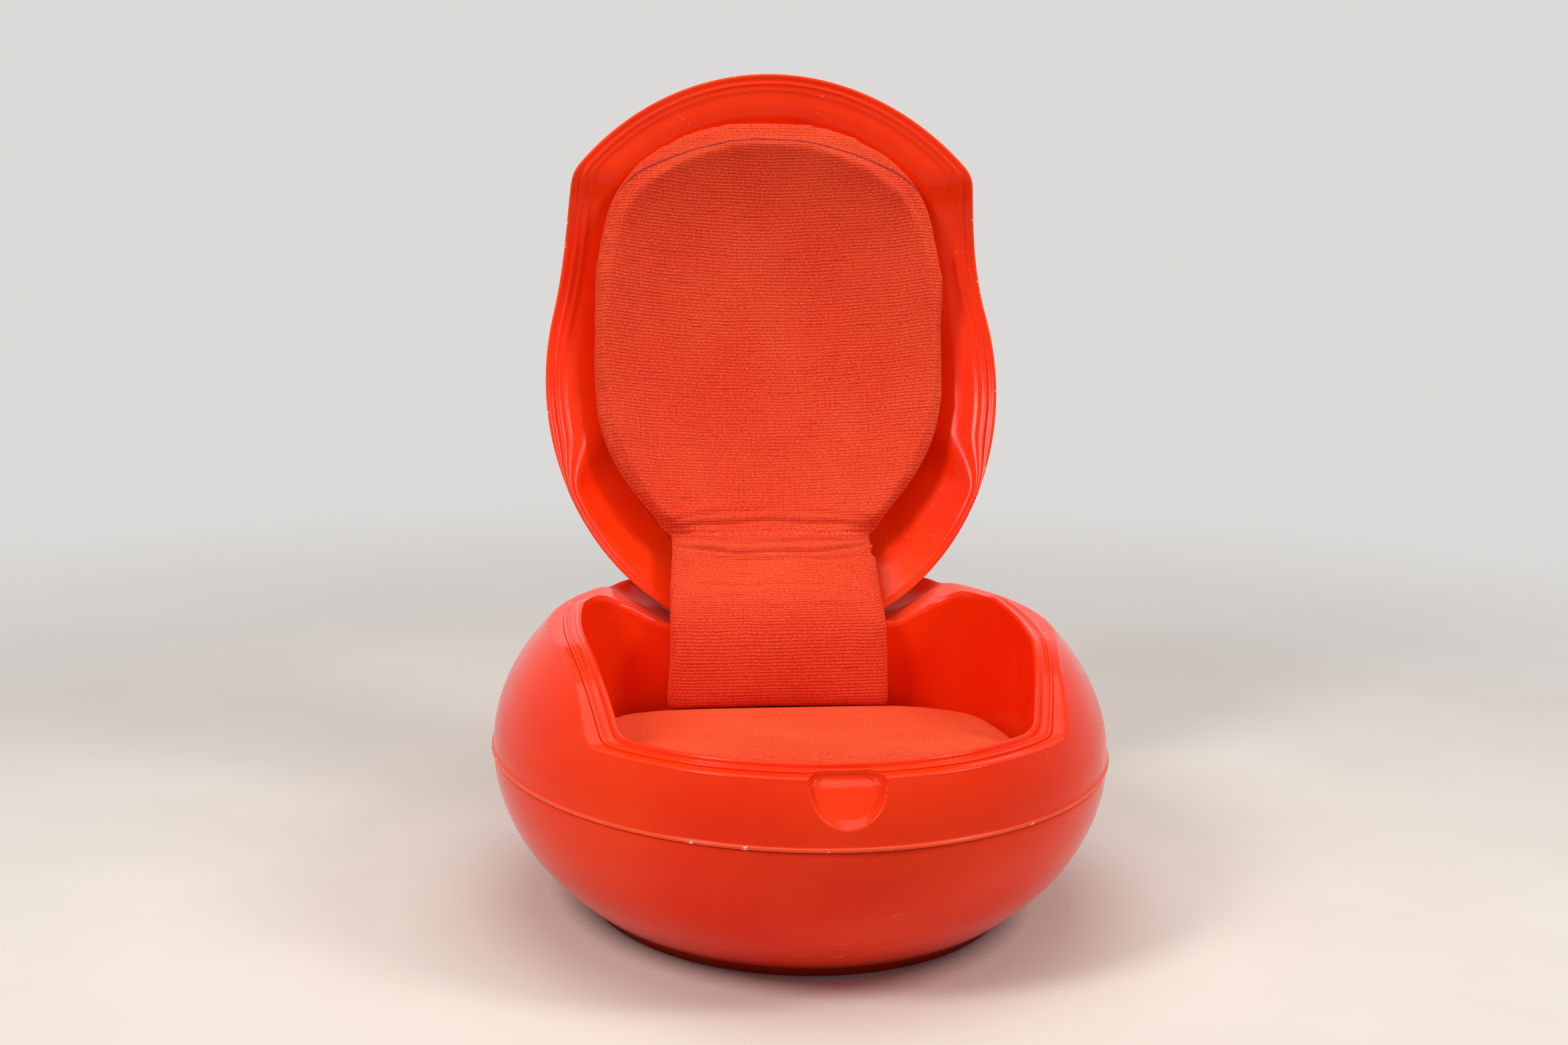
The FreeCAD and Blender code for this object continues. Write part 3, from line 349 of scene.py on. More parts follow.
# flange and coaming of the tub: distance out from the mouth, and lift above the rim
TUB_EDGE = [(22.0, -4.0), (22.0, 1.5), (21.7, 2.2), (21.0, 2.5), (18.9, 2.5), (18.2, 2.2), (17.9, 1.2),
            (17.3, 0.9), (16.9, 1.6), (16.4, 2.0), (15.4, 2.0), (14.8, 1.7), (14.3, 1.1), (13.5, 1.0),
            (9.2, 1.0), (8.4, 1.2), (8.0, 1.9), (7.8, 3.6), (7.3, 5.2), (6.3, 6.5), (4.9, 7.1), (3.5, 7.1),
            (2.0, 6.7), (0.8, 5.6), (0.2, 4.3), (0.0, 3.0)]
DRAFT, FLOOR_FILLET = 4.0, 30.0


def make_tub():
    """Seat tub in one moulding: stepped flange, rolled coaming, walls and sloping floor."""
    outside = mouth_at(WALL)
    rows = []
    for share in (0.0, 0.35, 0.7, 1.0):
        low = seat_floor(outside[1]) - WALL
        rows.append(row(outside, low + (tub_height(*outside) - 6 - low) * share))
    for grow, lift in TUB_EDGE:
        plan = mouth_at(grow)
        raised = np.where(lift > 0, lift * RIM_FADE, lift)
        rows.append(row(plan, tub_height(*plan) + raised))
    inside = mouth_at(0.0)
    top = tub_height(*inside) + TUB_EDGE[-1][1] * RIM_FADE
    for share in np.linspace(0, 1, 24)[1:]:
        plan = inside - MOUTH_WAY * (DRAFT * share + FLOOR_FILLET * smooth(0.86, 1.0, share) ** 2)
        low = seat_floor(plan[1])
        rows.append(row(plan, top + (low - top) * (1 - (1 - share) ** 1.15)))
    centre = -60.0
    floor = seat_floor(centre)
    return skin_rows("seat_tub_moulding", rows, (0, centre, floor - WALL), (0, centre, floor))


def make_lower_shell():
    """Lower skin of the egg with its moulded foot."""
    edge = EQUATOR - BEAD - 0.5
    rows = [row(ring(edge, WALL, 0, False), edge), row(ring(edge, 1.2, 0, False), edge),
            row(ring(edge - 0.8, 0, 0, False), edge - 1.0)]
    for tilt in np.radians(np.linspace(2, 45.2, 56)):
        z = EQUATOR - DROP * math.sin(tilt)
        rows.append(row(ring(z, 0, 0, False), z))
    low = rows[-1][:, :2].T
    foot = low * FOOT_TUCK
    base = rows[-1][0, 2]
    for share, z in ((0.6, base - 0.2), (1.0, base - 0.6), (1.0, base - 2), (1.0, 2.0), (0.999, 0.8)):
        rows.append(row(low + (foot - low) * share, max(z, 0.4)))
    rows.append(row(foot * 0.994, 0.0))
    rows.append(row(foot * 0.5, 0.0))
    inside = [row(foot * 0.5, WALL), row(foot * 0.97, WALL)]
    for z in (60.0, 120.0):
        inside.append(row(ring(z, WALL, WALL, False), z))
    return skin_rows("egg_bowl", inside + rows, (0, 0, WALL), (0, 0, 0))


def swing_open(points):
    """Turn closed-lid points back about the hinge to the open rest position."""
    moved = np.array(points, float)
    y, z = moved[..., 1] - HINGE_Y, moved[..., 2] - HINGE_Z
    moved[..., 1] = HINGE_Y + y * math.cos(OPENING) + z * math.sin(OPENING)
    moved[..., 2] = HINGE_Z - y * math.sin(OPENING) + z * math.cos(OPENING)
    return moved


# stepped edge of the lid: distance in from its outline, and lift off the parting line
LID_EDGE = [(0.0, 6.0), (0.0, 3.2), (0.25, 1.7), (0.9, 0.8), (2.0, 0.5), (3.6, 0.6), (4.6, 1.2),
            (5.2, 2.6), (6.0, 4.6), (7.2, 5.4), (8.8, 5.2), (9.6, 4.2), (10.4, 3.2), (11.6, 3.4),
            (12.2, 4.8), (12.9, 7.0), (14.6, 7.9), (16.4, 8.0), (17.2, 9.0), (17.8, 11.0),
            (19.4, 12.2), (23.0, 13.4), (28.0, 15.8), (33.0, 19.5), (37.0, 24.5), (40.0, 31.5), (42.0, 41.0)]
LID_INSET, LID_SINK, TAIL_THICK, LID_LOWEST = 28.0, 8.0, 4.5, 230.0
BOSS_HALF, BOSS_X, BOSS_Y, BOSS_Z = 25.0, 85.0, 230.5, 373.0


def make_lid():
    """Lid moulding: outer skin, stepped edge that thins towards the tail, flared and bowl-shaped inside."""
    tail = smooth(70, 160, parting_plan()[1])
    lowest = np.full(TURNS.shape, LID_LOWEST)

    def edge_row(inset, lift):
        slim = inset * (1 - tail * (1 - TAIL_THICK / LID_EDGE[-1][0])) if inset > 2 else inset
        rise = 0.5 + (lift - 0.5) * (1 - tail * 0.85) if inset > 2 else lift
        sink = min(LID_SINK, LID_SINK * inset / LID_INSET)
        high = np.full(TURNS.shape, EQUATOR + RISE - sink - 1.0)
        z = solve(lambda z: z - parting(ring(z, slim, sink)[1]) - rise, lowest, high)
        return row(ring(z, slim, sink), z), slim, sink

    rows = []
    outer, _, _ = edge_row(*LID_EDGE[0])
    begin = np.arcsin((outer[:, 2] - EQUATOR) / RISE)
    for share in np.linspace(0.995, 0.01, 64):
        z = EQUATOR + RISE * np.sin(begin + (math.pi / 2 - begin) * share)
        rows.append(row(ring(z), z))
    worn_and_highlit = range(len(rows), len(rows) + 5)
    for inset, lift in LID_EDGE:
        points, slim, sink = edge_row(inset, lift)
        rows.append(points)
    begin = np.arcsin((rows[-1][:, 2] - EQUATOR) / (RISE - sink))
    even = np.minimum(slim, LID_INSET)
    for share in np.linspace(0.01, 0.995, 56):
        z = EQUATOR + (RISE - sink) * np.sin(begin + (math.pi / 2 - begin) * share)
        rows.append(row(ring(z, slim + (even - slim) * smooth(0, 0.45, share), sink), z))
    rows = [swing_open(points) for points in rows]
    poles = [swing_open([[0, 0, EQUATOR + RISE]])[0], swing_open([[0, 0, EQUATOR + RISE - sink]])[0]]
    return skin_rows("lid_moulding", rows, *poles, worn_and_highlit=worn_and_highlit)


def make_boss(side):
    """Raised pad of the lid moulding that a hinge leaf is screwed to."""
    turn = np.linspace(0, 2 * math.pi, 49)[:-1]
    square = np.stack([np.cos(turn), np.sin(turn)])
    square = np.sign(square) * np.abs(square) ** 0.3 * BOSS_HALF
    centre = np.array([side * BOSS_X, BOSS_Y])

    def skin(x, y):
        share = 1 - (x / (HALF_WIDTH - LID_INSET)) ** 2 - (y / (HALF_DEPTH - LID_INSET)) ** 2
        return EQUATOR + (RISE - LID_SINK) * np.sqrt(share) + 1.5

    rows = []
    for grow, share in ((0.95, 0.0), (1.0, 0.08), (1.02, 0.5), (1.06, 0.8), (1.1, 1.0)):
        plan = centre[:, None] + square * grow
        rows.append(row(plan, BOSS_Z + (skin(*plan) - BOSS_Z) * share))
    poles = [[centre[0], centre[1], BOSS_Z], [centre[0], centre[1], skin(*centre)]]
    return skin_rows("lid_boss_" + ("left" if side < 0 else "right"), [swing_open(r) for r in rows],
                     *[swing_open([p])[0] for p in poles])


def parting_plan():
    """Plan of the egg's outline where it meets the parting line."""
    edge = solve(lambda z: z - parting(ring(z)[1]),
                 np.full(TURNS.shape, LOW_LINE), np.full(TURNS.shape, HIGH_LINE))
    return ring(edge)


# ---------------------------------------------------------------- sewn pads

# the pad in the closed lid: place ahead of the egg's middle, and half width there
PAD_SIDES = [(349, 0), (347, 52), (341, 84), (330, 116), (313, 148), (289, 178), (260, 201),
             (225, 219), (180, 230), (130, 236), (70, 238), (10, 238), (-50, 232), (-100, 215),
             (-140, 192), (-170, 169), (-190, 153), (-205, 146)]
PAD_FLOOR = 281.0
FLAP_HALF = 145.0
PAD_LEAN, FLAP_LEAN = -4.0, -7.5
# face and back of the hanging part in the open chair, from the waist down: distance back, and height
FACE_LINE = [(272, 402), (248, 388), (224, 369), (200, 350), (178, 333), (160, 316), (149, 298), (146, 276),
             (145, 245), (145, 186)]
BACK_LINE = [(318, 400), (286, 404), (258, 396), (236, 372), (218, 345), (200, 322), (186, 304), (180, 285),
             (178, 250), (178, 186)]
# how far the pad's face and back are set in and sunk inside the egg
PAD_FACE, PAD_BACK = (72.0, 52.0), (30.0, 9.5)
PAD_THICK, EDGE_ROWS = 45.0, 6
HEAD_WIDER = 45.0
COVER_GRAIN, COVER_PRESSURE, COVER_REACH = 0.0055, 3.0, 0.006
# sides of the hanging part: share of its length, and how much wider than its half width
FLAP_SIDES = [(0.12, 1), (0.3, -1), (0.6, 0), (0.95, 2), (0.985, 1), (1.0, -5)]


def pad_outline(count=300):
    """The pad laid flat: half widths down its length, as a closed line with rounded lower corners."""
    lengths, halves = [], []
    face = lid_face_line()
    for reach, half in PAD_SIDES:
        lengths.append(np.interp(-reach, face[0], face[1]))
        halves.append(half)
    end = lengths[-1]
    bottom = end + line_length(FACE_LINE) - 1
    for share, spare in FLAP_SIDES:
        lengths.append(end + (bottom - end) * share)
        halves.append(FLAP_HALF + spare)
    lengths.append(bottom)
    halves.append(0)
    right = np.stack([halves, lengths], 1).astype(float)
    loop = spline(np.concatenate([right, right[-2:0:-1] * [-1, 1]]))
    closed = np.vstack([loop, loop[:1]])
    steps = np.concatenate([[0], np.cumsum(np.hypot(*np.diff(closed, axis=0).T))])
    spots = np.linspace(0, steps[-1], count, endpoint=False)
    flat = np.stack([np.interp(spots, steps, closed[:, k]) for k in range(2)], 1)
    for _ in range(6):
        flat = (np.roll(flat, 1, 0) + 2 * flat + np.roll(flat, -1, 0)) / 4
    return flat, end


def spline(points, steps=12):
    """Smooth closed curve through points, by Catmull and Rom's cubic."""
    before, after, later = (np.roll(points, k, 0)[:, None] for k in (1, -1, -2))
    here = points[:, None]
    t = np.linspace(0, 1, steps, endpoint=False)[None, :, None]
    curve = (2 * here + (after - before) * t + (2 * before - 5 * here + 4 * after - later) * t ** 2
             + (3 * here - before - 3 * after + later) * t ** 3) / 2
    return curve.reshape(-1, 2)


def line_length(line):
    """Length of a line through points."""
    return float(np.sum(np.hypot(*np.diff(np.array(line, float), axis=0).T)))


def lid_face_line():
    """Length along the pad's face from its head, against the closed depth of that place."""
    y = np.linspace(-356, 270, 400)
    z = EQUATOR + (RISE - PAD_FACE[1]) * np.sqrt(np.maximum(1 - (y / (HALF_DEPTH - PAD_FACE[0])) ** 2, 0))
    z = soft_max(z, PAD_FLOOR, 8)
    steps = np.hypot(np.diff(y), np.diff(z))
    return y, np.concatenate([[0], np.cumsum(steps)])


def in_lid(x, y, insets):
    """Open-pose place of a point on an egg inside the lid."""
    wide = HALF_WIDTH - insets[0] + HEAD_WIDER * smooth(120, 270, -y)
    share = 1 - (x / wide) ** 2 - (y / (HALF_DEPTH - insets[0])) ** 2
    z = soft_max(EQUATOR + (RISE - insets[1]) * np.sqrt(np.maximum(share, 0.0)), PAD_FLOOR, 8)
    return swing_open(np.stack([x, y, z], -1))


def down_line(x, run, line):
    """Place on the hanging part of the pad, a given length below the waist."""
    places = np.array(line, float)
    steps = np.concatenate([[0], np.cumsum(np.hypot(*np.diff(places, axis=0).T))])
    run = run * steps[-1] / line_length(FACE_LINE)
    y = np.interp(run, steps, places[:, 0])
    z = np.interp(run, steps, places[:, 1])
    climb = (places[0] - places[1]) / steps[1]
    y = y - np.minimum(run, 0) * climb[0]
    z = z - np.minimum(run, 0) * climb[1]
    return np.stack([x, y, z], -1)


def pad_place(flat, waist, depth):
    """Place in the open chair of a point of the flat pad; depth runs from 0 at its face to 1 at its back."""
    x, along = flat[..., 0], flat[..., 1]
    face = lid_face_line()
    y = np.interp(along, face[1], face[0])
    insets = [PAD_FACE[k] + (PAD_BACK[k] - PAD_FACE[k]) * depth for k in range(2)]
    upper = in_lid(x, y, insets)
    line = np.array(FACE_LINE) * (1 - depth) + np.array(BACK_LINE) * depth
    lower = down_line(x, along - waist, line)
    share = smooth(waist - 22, waist + 18, along)[..., None]
    return upper * (1 - share) + lower * share


def closed_pad(name, outline, centre, place, puff=(7.0, 4.0)):
    """A stuffed form between two faces: rings run from its face's middle, over the edge, to the back."""
    rows = []
    shares = np.sin(np.linspace(0.02, 1, 26) * math.pi / 2)
    for depth, order, swell in ((0.0, shares, -puff[0]), (1.0, shares[::-1], puff[1])):
        for share in order:
            flat = centre + (outline - centre) * share
            crown = swell / PAD_THICK * (1 - share ** 6)
            rows.append(place(flat, depth + crown))
        if depth == 0.0:
            for step in np.linspace(0, 1, EDGE_ROWS + 2)[1:-1]:
                bulge = 1 + 0.012 * math.sin(step * math.pi)
                rows.append(place(centre + (outline - centre) * bulge, step))
    ends = [place(centre[None, :], depth)[0] for depth in (-puff[0] / PAD_THICK, 1 + puff[1] / PAD_THICK)]
    return skin_rows(name, rows, *ends)


def stuff(piece):
    """Blow the cover up a little under its own tension, then keep every point near where it started."""
    remesh = piece.modifiers.new("even cloth", "REMESH")
    remesh.mode = "VOXEL"
    remesh.voxel_size = COVER_GRAIN
    remesh.use_smooth_shade = True
    apply_modifiers(piece)
    start = read_points(piece)
    cloth = piece.modifiers.new("cover", "CLOTH")
    cloth.settings.quality = 6
    cloth.settings.mass = 0.25
    cloth.settings.tension_stiffness = 18
    cloth.settings.compression_stiffness = 14
    cloth.settings.bending_stiffness = 1.2
    cloth.settings.use_pressure = True
    cloth.settings.uniform_pressure_force = COVER_PRESSURE
    cloth.settings.effector_weights.gravity = 0
    cloth.collision_settings.use_collision = False
    for number in range(1, 21):
        bpy.context.scene.frame_set(number)
    apply_modifiers(piece)
    moved = read_points(piece) - start
    far = np.linalg.norm(moved, axis=1, keepdims=True)
    write_points(piece, start + moved * np.minimum(1, COVER_REACH / np.maximum(far, 1e-9)))
    bpy.context.scene.frame_set(1)


def apply_modifiers(piece):
    """Replace a piece's mesh by its finished form."""
    graph = bpy.context.evaluated_depsgraph_get()
    finished = bpy.data.meshes.new_from_object(piece.evaluated_get(graph))
    piece.modifiers.clear()
    piece.data = finished


def read_points(piece):
    """A mesh's points, in metres."""
    points = np.empty(len(piece.data.vertices) * 3)
    piece.data.vertices.foreach_get("co", points)
    return points.reshape(-1, 3)


def write_points(piece, points):
    """Move a mesh's points."""
    piece.data.vertices.foreach_set("co", np.ascontiguousarray(points, float).ravel())
    piece.data.update()
    piece.data.shade_smooth()


def point_normals(piece):
    """Outward direction at each of a mesh's points."""
    normals = np.empty(len(piece.data.vertices) * 3)
    piece.data.vertex_normals.foreach_get("vector", normals)
    return normals.reshape(-1, 3)


def smooth_cloth(piece, rounds):
    """Even out small unevenness in a cover."""
    even = piece.modifiers.new("settle", "SMOOTH")
    even.factor = 0.5
    even.iterations = rounds
    apply_modifiers(piece)


def subdivide(piece):
    """Divide each face of a cover once, so that folds can be pressed into it."""
    fine = piece.modifiers.new("fine", "SUBSURF")
    fine.levels = fine.render_levels = 1
    apply_modifiers(piece)
    piece.data.shade_smooth()


def make_back_pad():
    """Back pad in one piece: its head lies in the lid, and below the waist it hangs to the seat."""
    outline, waist = pad_outline()
    centre = np.array([0.0, waist * 0.55])
    pad = closed_pad("back_pad", outline, centre, lambda flat, depth: pad_place(flat, waist, depth))
    points = read_points(pad)
    points[:, 0] += (FLAP_LEAN + (PAD_LEAN - FLAP_LEAN) * smooth(0.35, 0.65, points[:, 2])) * MM
    write_points(pad, points)
    stuff(pad)
    smooth_cloth(pad, 8)
    subdivide(pad)
    press_creases(pad)
    return pad


# creases at the waist: length below it at the middle and at the sides, depth, half width, middle
CREASES = [(-14, 0, 2.6, 140, 0), (-34, -12, 1.2, 80, -70), (36, 22, 3.0, 150, 0), (47, 44, 1.4, 120, 20),
           (14, 12, 1.3, 90, 50), (92, 90, 0.9, 110, -20), (128, 128, 0.6, 130, 10), (-30, -16, 1.0, 60, 85)]
CREASE_WIDTH, RIDGE_WIDTH, RIDGE_ABOVE, RIDGE_SHARE = 3.2, 6.0, 9.0, 0.55
CREASE_WAVER, WAVER_LENGTH = 1.6, 17.0


def press_creases(piece):
    """Press shallow folds into the cover where the pad bends over the hinge."""
    points = read_points(piece)
    normals = point_normals(piece)
    below = pad_lengths(piece) / MM - pad_lengths_at_waist()
    x = points[:, 0] / MM - FLAP_LEAN
    lift = np.zeros(len(points))
    for middle, sides, depth, half, centre in CREASES:
        line = middle + (sides - middle) * np.clip((x / FLAP_HALF) ** 2, 0, 1.3)
        line = line + CREASE_WAVER * np.sin(x / WAVER_LENGTH + middle)
        fade = 1 - smooth(half * 0.6, half, np.abs(x - centre))
        off = below - line
        ridge = RIDGE_SHARE * np.exp(-((off + RIDGE_ABOVE) / RIDGE_WIDTH) ** 2)
        lift += depth * fade * (ridge - np.exp(-(off / CREASE_WIDTH) ** 2))
    facing = smooth(0.1, 0.5, -normals[:, 1])
    write_points(piece, points + normals * (lift * facing)[:, None] * MM)


def pad_lengths_at_waist():
    """Length along the pad from its head to its waist."""
    return float(np.interp(-PAD_SIDES[-1][0], *lid_face_line()))


# the seam, an arc of an ellipse in the closed lid: its half axes, half its span, and how deep it starts
SEAM_HALF_WIDTH, SEAM_HALF_DEPTH, SEAM_SPAN, SEAM_DEEP = 345.0, 323.0, 39.0, 6.0
SEAM_RADIUS, SEAM_HEIGHT, SEAM_SINK = 1.3, 0.7, 0.1


def seam_line(pad):
    """Points and outward directions of the seam between the pad's face and its side strip."""
    surface = BVHTree.FromPolygons([vertex.co for vertex in pad.data.vertices],
                                   [face.vertices for face in pad.data.polygons])
    places, ups = [], []
    insets = (PAD_FACE[0] + SEAM_DEEP, PAD_FACE[1] + SEAM_DEEP)
    for turn in np.radians(np.linspace(-SEAM_SPAN, SEAM_SPAN, 240)):
        x, y = SEAM_HALF_WIDTH * math.sin(turn), -SEAM_HALF_DEPTH * math.cos(turn)
        start = in_lid(np.array([x]), np.array([y]), insets)[0] * MM
        start[0] += PAD_LEAN * MM
        place, up, _, _ = surface.find_nearest(Vector(start))
        places.append(np.array(place))
        ups.append(np.array(up))
    places, ups = np.array(places), np.array(ups)
    for _ in range(8):
        places[1:-1] = (places[:-2] + 2 * places[1:-1] + places[2:]) / 4
        ups[1:-1] = (ups[:-2] + 2 * ups[1:-1] + ups[2:]) / 4
    return places, ups / np.linalg.norm(ups, axis=1, keepdims=True)


def make_seam_shadow_cord(pad):
    """Seam of the cover: the closed slit between two edges of cloth, as a thin sunk dark cord that is the
    slit's painted shade.
    """
    places, ups = seam_line(pad)
    along = np.gradient(places, axis=0)
    along /= np.linalg.norm(along, axis=1, keepdims=True)
    side = np.cross(along, ups)
    rings = []
    for k in range(len(places)):
        taper = min(1, (k + 1) / 12, (len(places) - k) / 12)
        ring_points = []
        for turn in np.linspace(0, 2 * math.pi, 9)[:-1]:
            aside = side[k] * math.cos(turn) * SEAM_RADIUS
            above = ups[k] * (math.sin(turn) * SEAM_HEIGHT - SEAM_SINK)
            ring_points.append(places[k] + (aside + above) * taper * MM)
        rings.append(np.array(ring_points) / MM)
    return skin_rows("pad_seam_shadow_cord", rings, rings[0].mean(0), rings[-1].mean(0)), places, ups


STITCH_SIZES = {"Pitch": 0.0042, "Length": 0.0030, "Radius": 0.00035}
OFF_THE_FACE = (0.0, -0.94, -0.33)


def make_stitches(places, ups, thread):
    """Ladder stitches across the seam, one every few millimetres."""
    mesh = bpy.data.meshes.new("seam_path")
    raised = [tuple(place) for place in places + ups * 0.3 * MM]
    mesh.from_pydata(raised, [(k, k + 1) for k in range(len(places) - 1)], [])
    piece = bpy.data.objects.new("pad_stitches", mesh)
    bpy.context.collection.objects.link(piece)
    tree = bpy.data.node_groups.new("ladder stitches", "GeometryNodeTree")
    tree.interface.new_socket("Path", in_out="INPUT", socket_type="NodeSocketGeometry")
    sizes = {}
    for name, value in STITCH_SIZES.items():
        socket = tree.interface.new_socket(name, in_out="INPUT", socket_type="NodeSocketFloat")
        socket.default_value = value
        sizes[socket.identifier] = value
    tree.interface.new_socket("Stitches", in_out="OUTPUT", socket_type="NodeSocketGeometry")
    given = node(tree, "NodeGroupInput", out=None).outputs
    curve = node(tree, "GeometryNodeMeshToCurve", {"Mesh": given["Path"]})
    even = node(tree, "GeometryNodeResampleCurve", {"Curve": curve, "Length": given["Pitch"]}, mode="LENGTH")
    stitch = node(tree, "GeometryNodeMeshCylinder",
                  {"Vertices": 8, "Radius": given["Radius"], "Depth": given["Length"]},
                  fill_type="TRIANGLE_FAN")
    tangent = node(tree, "GeometryNodeInputTangent")
    across = node(tree, "ShaderNodeVectorMath", {0: tangent, 1: OFF_THE_FACE}, operation="CROSS_PRODUCT")
    turned = node(tree, "FunctionNodeAlignEulerToVector", {"Vector": across}, axis="Z")
    uneven = node(tree, "FunctionNodeRandomValue", {2: 0.8, 3: 1.15, "Seed": 7}, 1, data_type="FLOAT")
    stitches = node(tree, "GeometryNodeInstanceOnPoints",
                    {"Points": even, "Instance": stitch, "Rotation": turned, "Scale": uneven})
    whole = node(tree, "GeometryNodeRealizeInstances", {0: stitches})
    dressed = node(tree, "GeometryNodeSetMaterial", {"Geometry": whole, "Material": thread})
    node(tree, "NodeGroupOutput", {0: dressed}, out=None)
    modifier = piece.modifiers.new("stitches", "NODES")
    modifier.node_group = tree
    for name, value in sizes.items():
        modifier[name] = value
    apply_modifiers(piece)
    piece.data.materials.clear()
    piece.data.materials.append(thread)
    return piece


CUSHION_GAP, CUSHION_REAR, CUSHION_RISE, CUSHION_CROWN = 6.0, 178.0, 41.0, 9.0


def make_seat_cushion():
    """Seat cushion: the tub's plan set in, crowned on top, its rear edge under the hanging pad."""
    places, normals = mouth_outline()
    outline = (places - normals * CUSHION_GAP)[::4]
    outline[:, 1] = np.minimum(outline[:, 1], CUSHION_REAR)
    centre = np.array([0.0, -70.0])

    def place(flat, depth):
        x, y = flat[..., 0], flat[..., 1]
        z = seat_floor(y) + 1.0 + CUSHION_RISE * (1 - depth)
        sides, rear, front = np.abs(x / 250) ** 5, smooth(SEAT_BACK, CUSHION_REAR, y), smooth(-150, -300, y)
        crown = CUSHION_CROWN - 16.0 * sides - 10.0 * rear + 3.0 * front
        return np.stack([x, y, z + crown * np.clip(1 - depth, 0, 1)], -1)

    cushion = closed_pad("seat_pad", outline, centre, place, puff=(0.0, 0.0))
    stuff(cushion)
    smooth_cloth(cushion, 6)
    subdivide(cushion)
    return cushion


# ---------------------------------------------------------------- finishes

def colour(code):
    """Linear colour of an sRGB hex value."""
    channels = [int(code[k:k + 2], 16) / 255 for k in (1, 3, 5)]
    return tuple(c / 12.92 if c <= 0.04045 else ((c + 0.055) / 1.055) ** 2.4 for c in channels) + (1.0,)


def node(tree, kind, sockets=None, out=0, **settings):
    """Add a node with its settings; a socket takes a value or another node's output. Gives one output."""
    made = tree.nodes.new(kind)
    for name, value in settings.items():
        setattr(made, name, value)
    for name, value in (sockets or {}).items():
        if isinstance(value, bpy.types.NodeSocket):
            tree.links.new(value, made.inputs[name])
        else:
            made.inputs[name].default_value = value
    return made if out is None else made.outputs[out]


def new_material(name):
    """A material with its tree and its surface."""
    material = bpy.data.materials.new(name)
    material.use_nodes = True
    tree = material.node_tree
    return material, tree, tree.nodes["Principled BSDF"]


def paint(tree, skin, base, coats):
    """Lay coats of colour over a base, each as strongly as its share says."""
    for share, code in coats:
        base = node(tree, "ShaderNodeMix", {0: share, 6: base, 7: colour(code)}, 2, data_type="RGBA")
    tree.links.new(base, skin.inputs["Base Color"])


def roughen(tree, skin, height, strength, distance):
    """Raise the surface by a height map."""
    bump = node(tree, "ShaderNodeBump", {"Height": height, "Strength": strength, "Distance": distance})
    tree.links.new(bump, skin.inputs["Normal"])


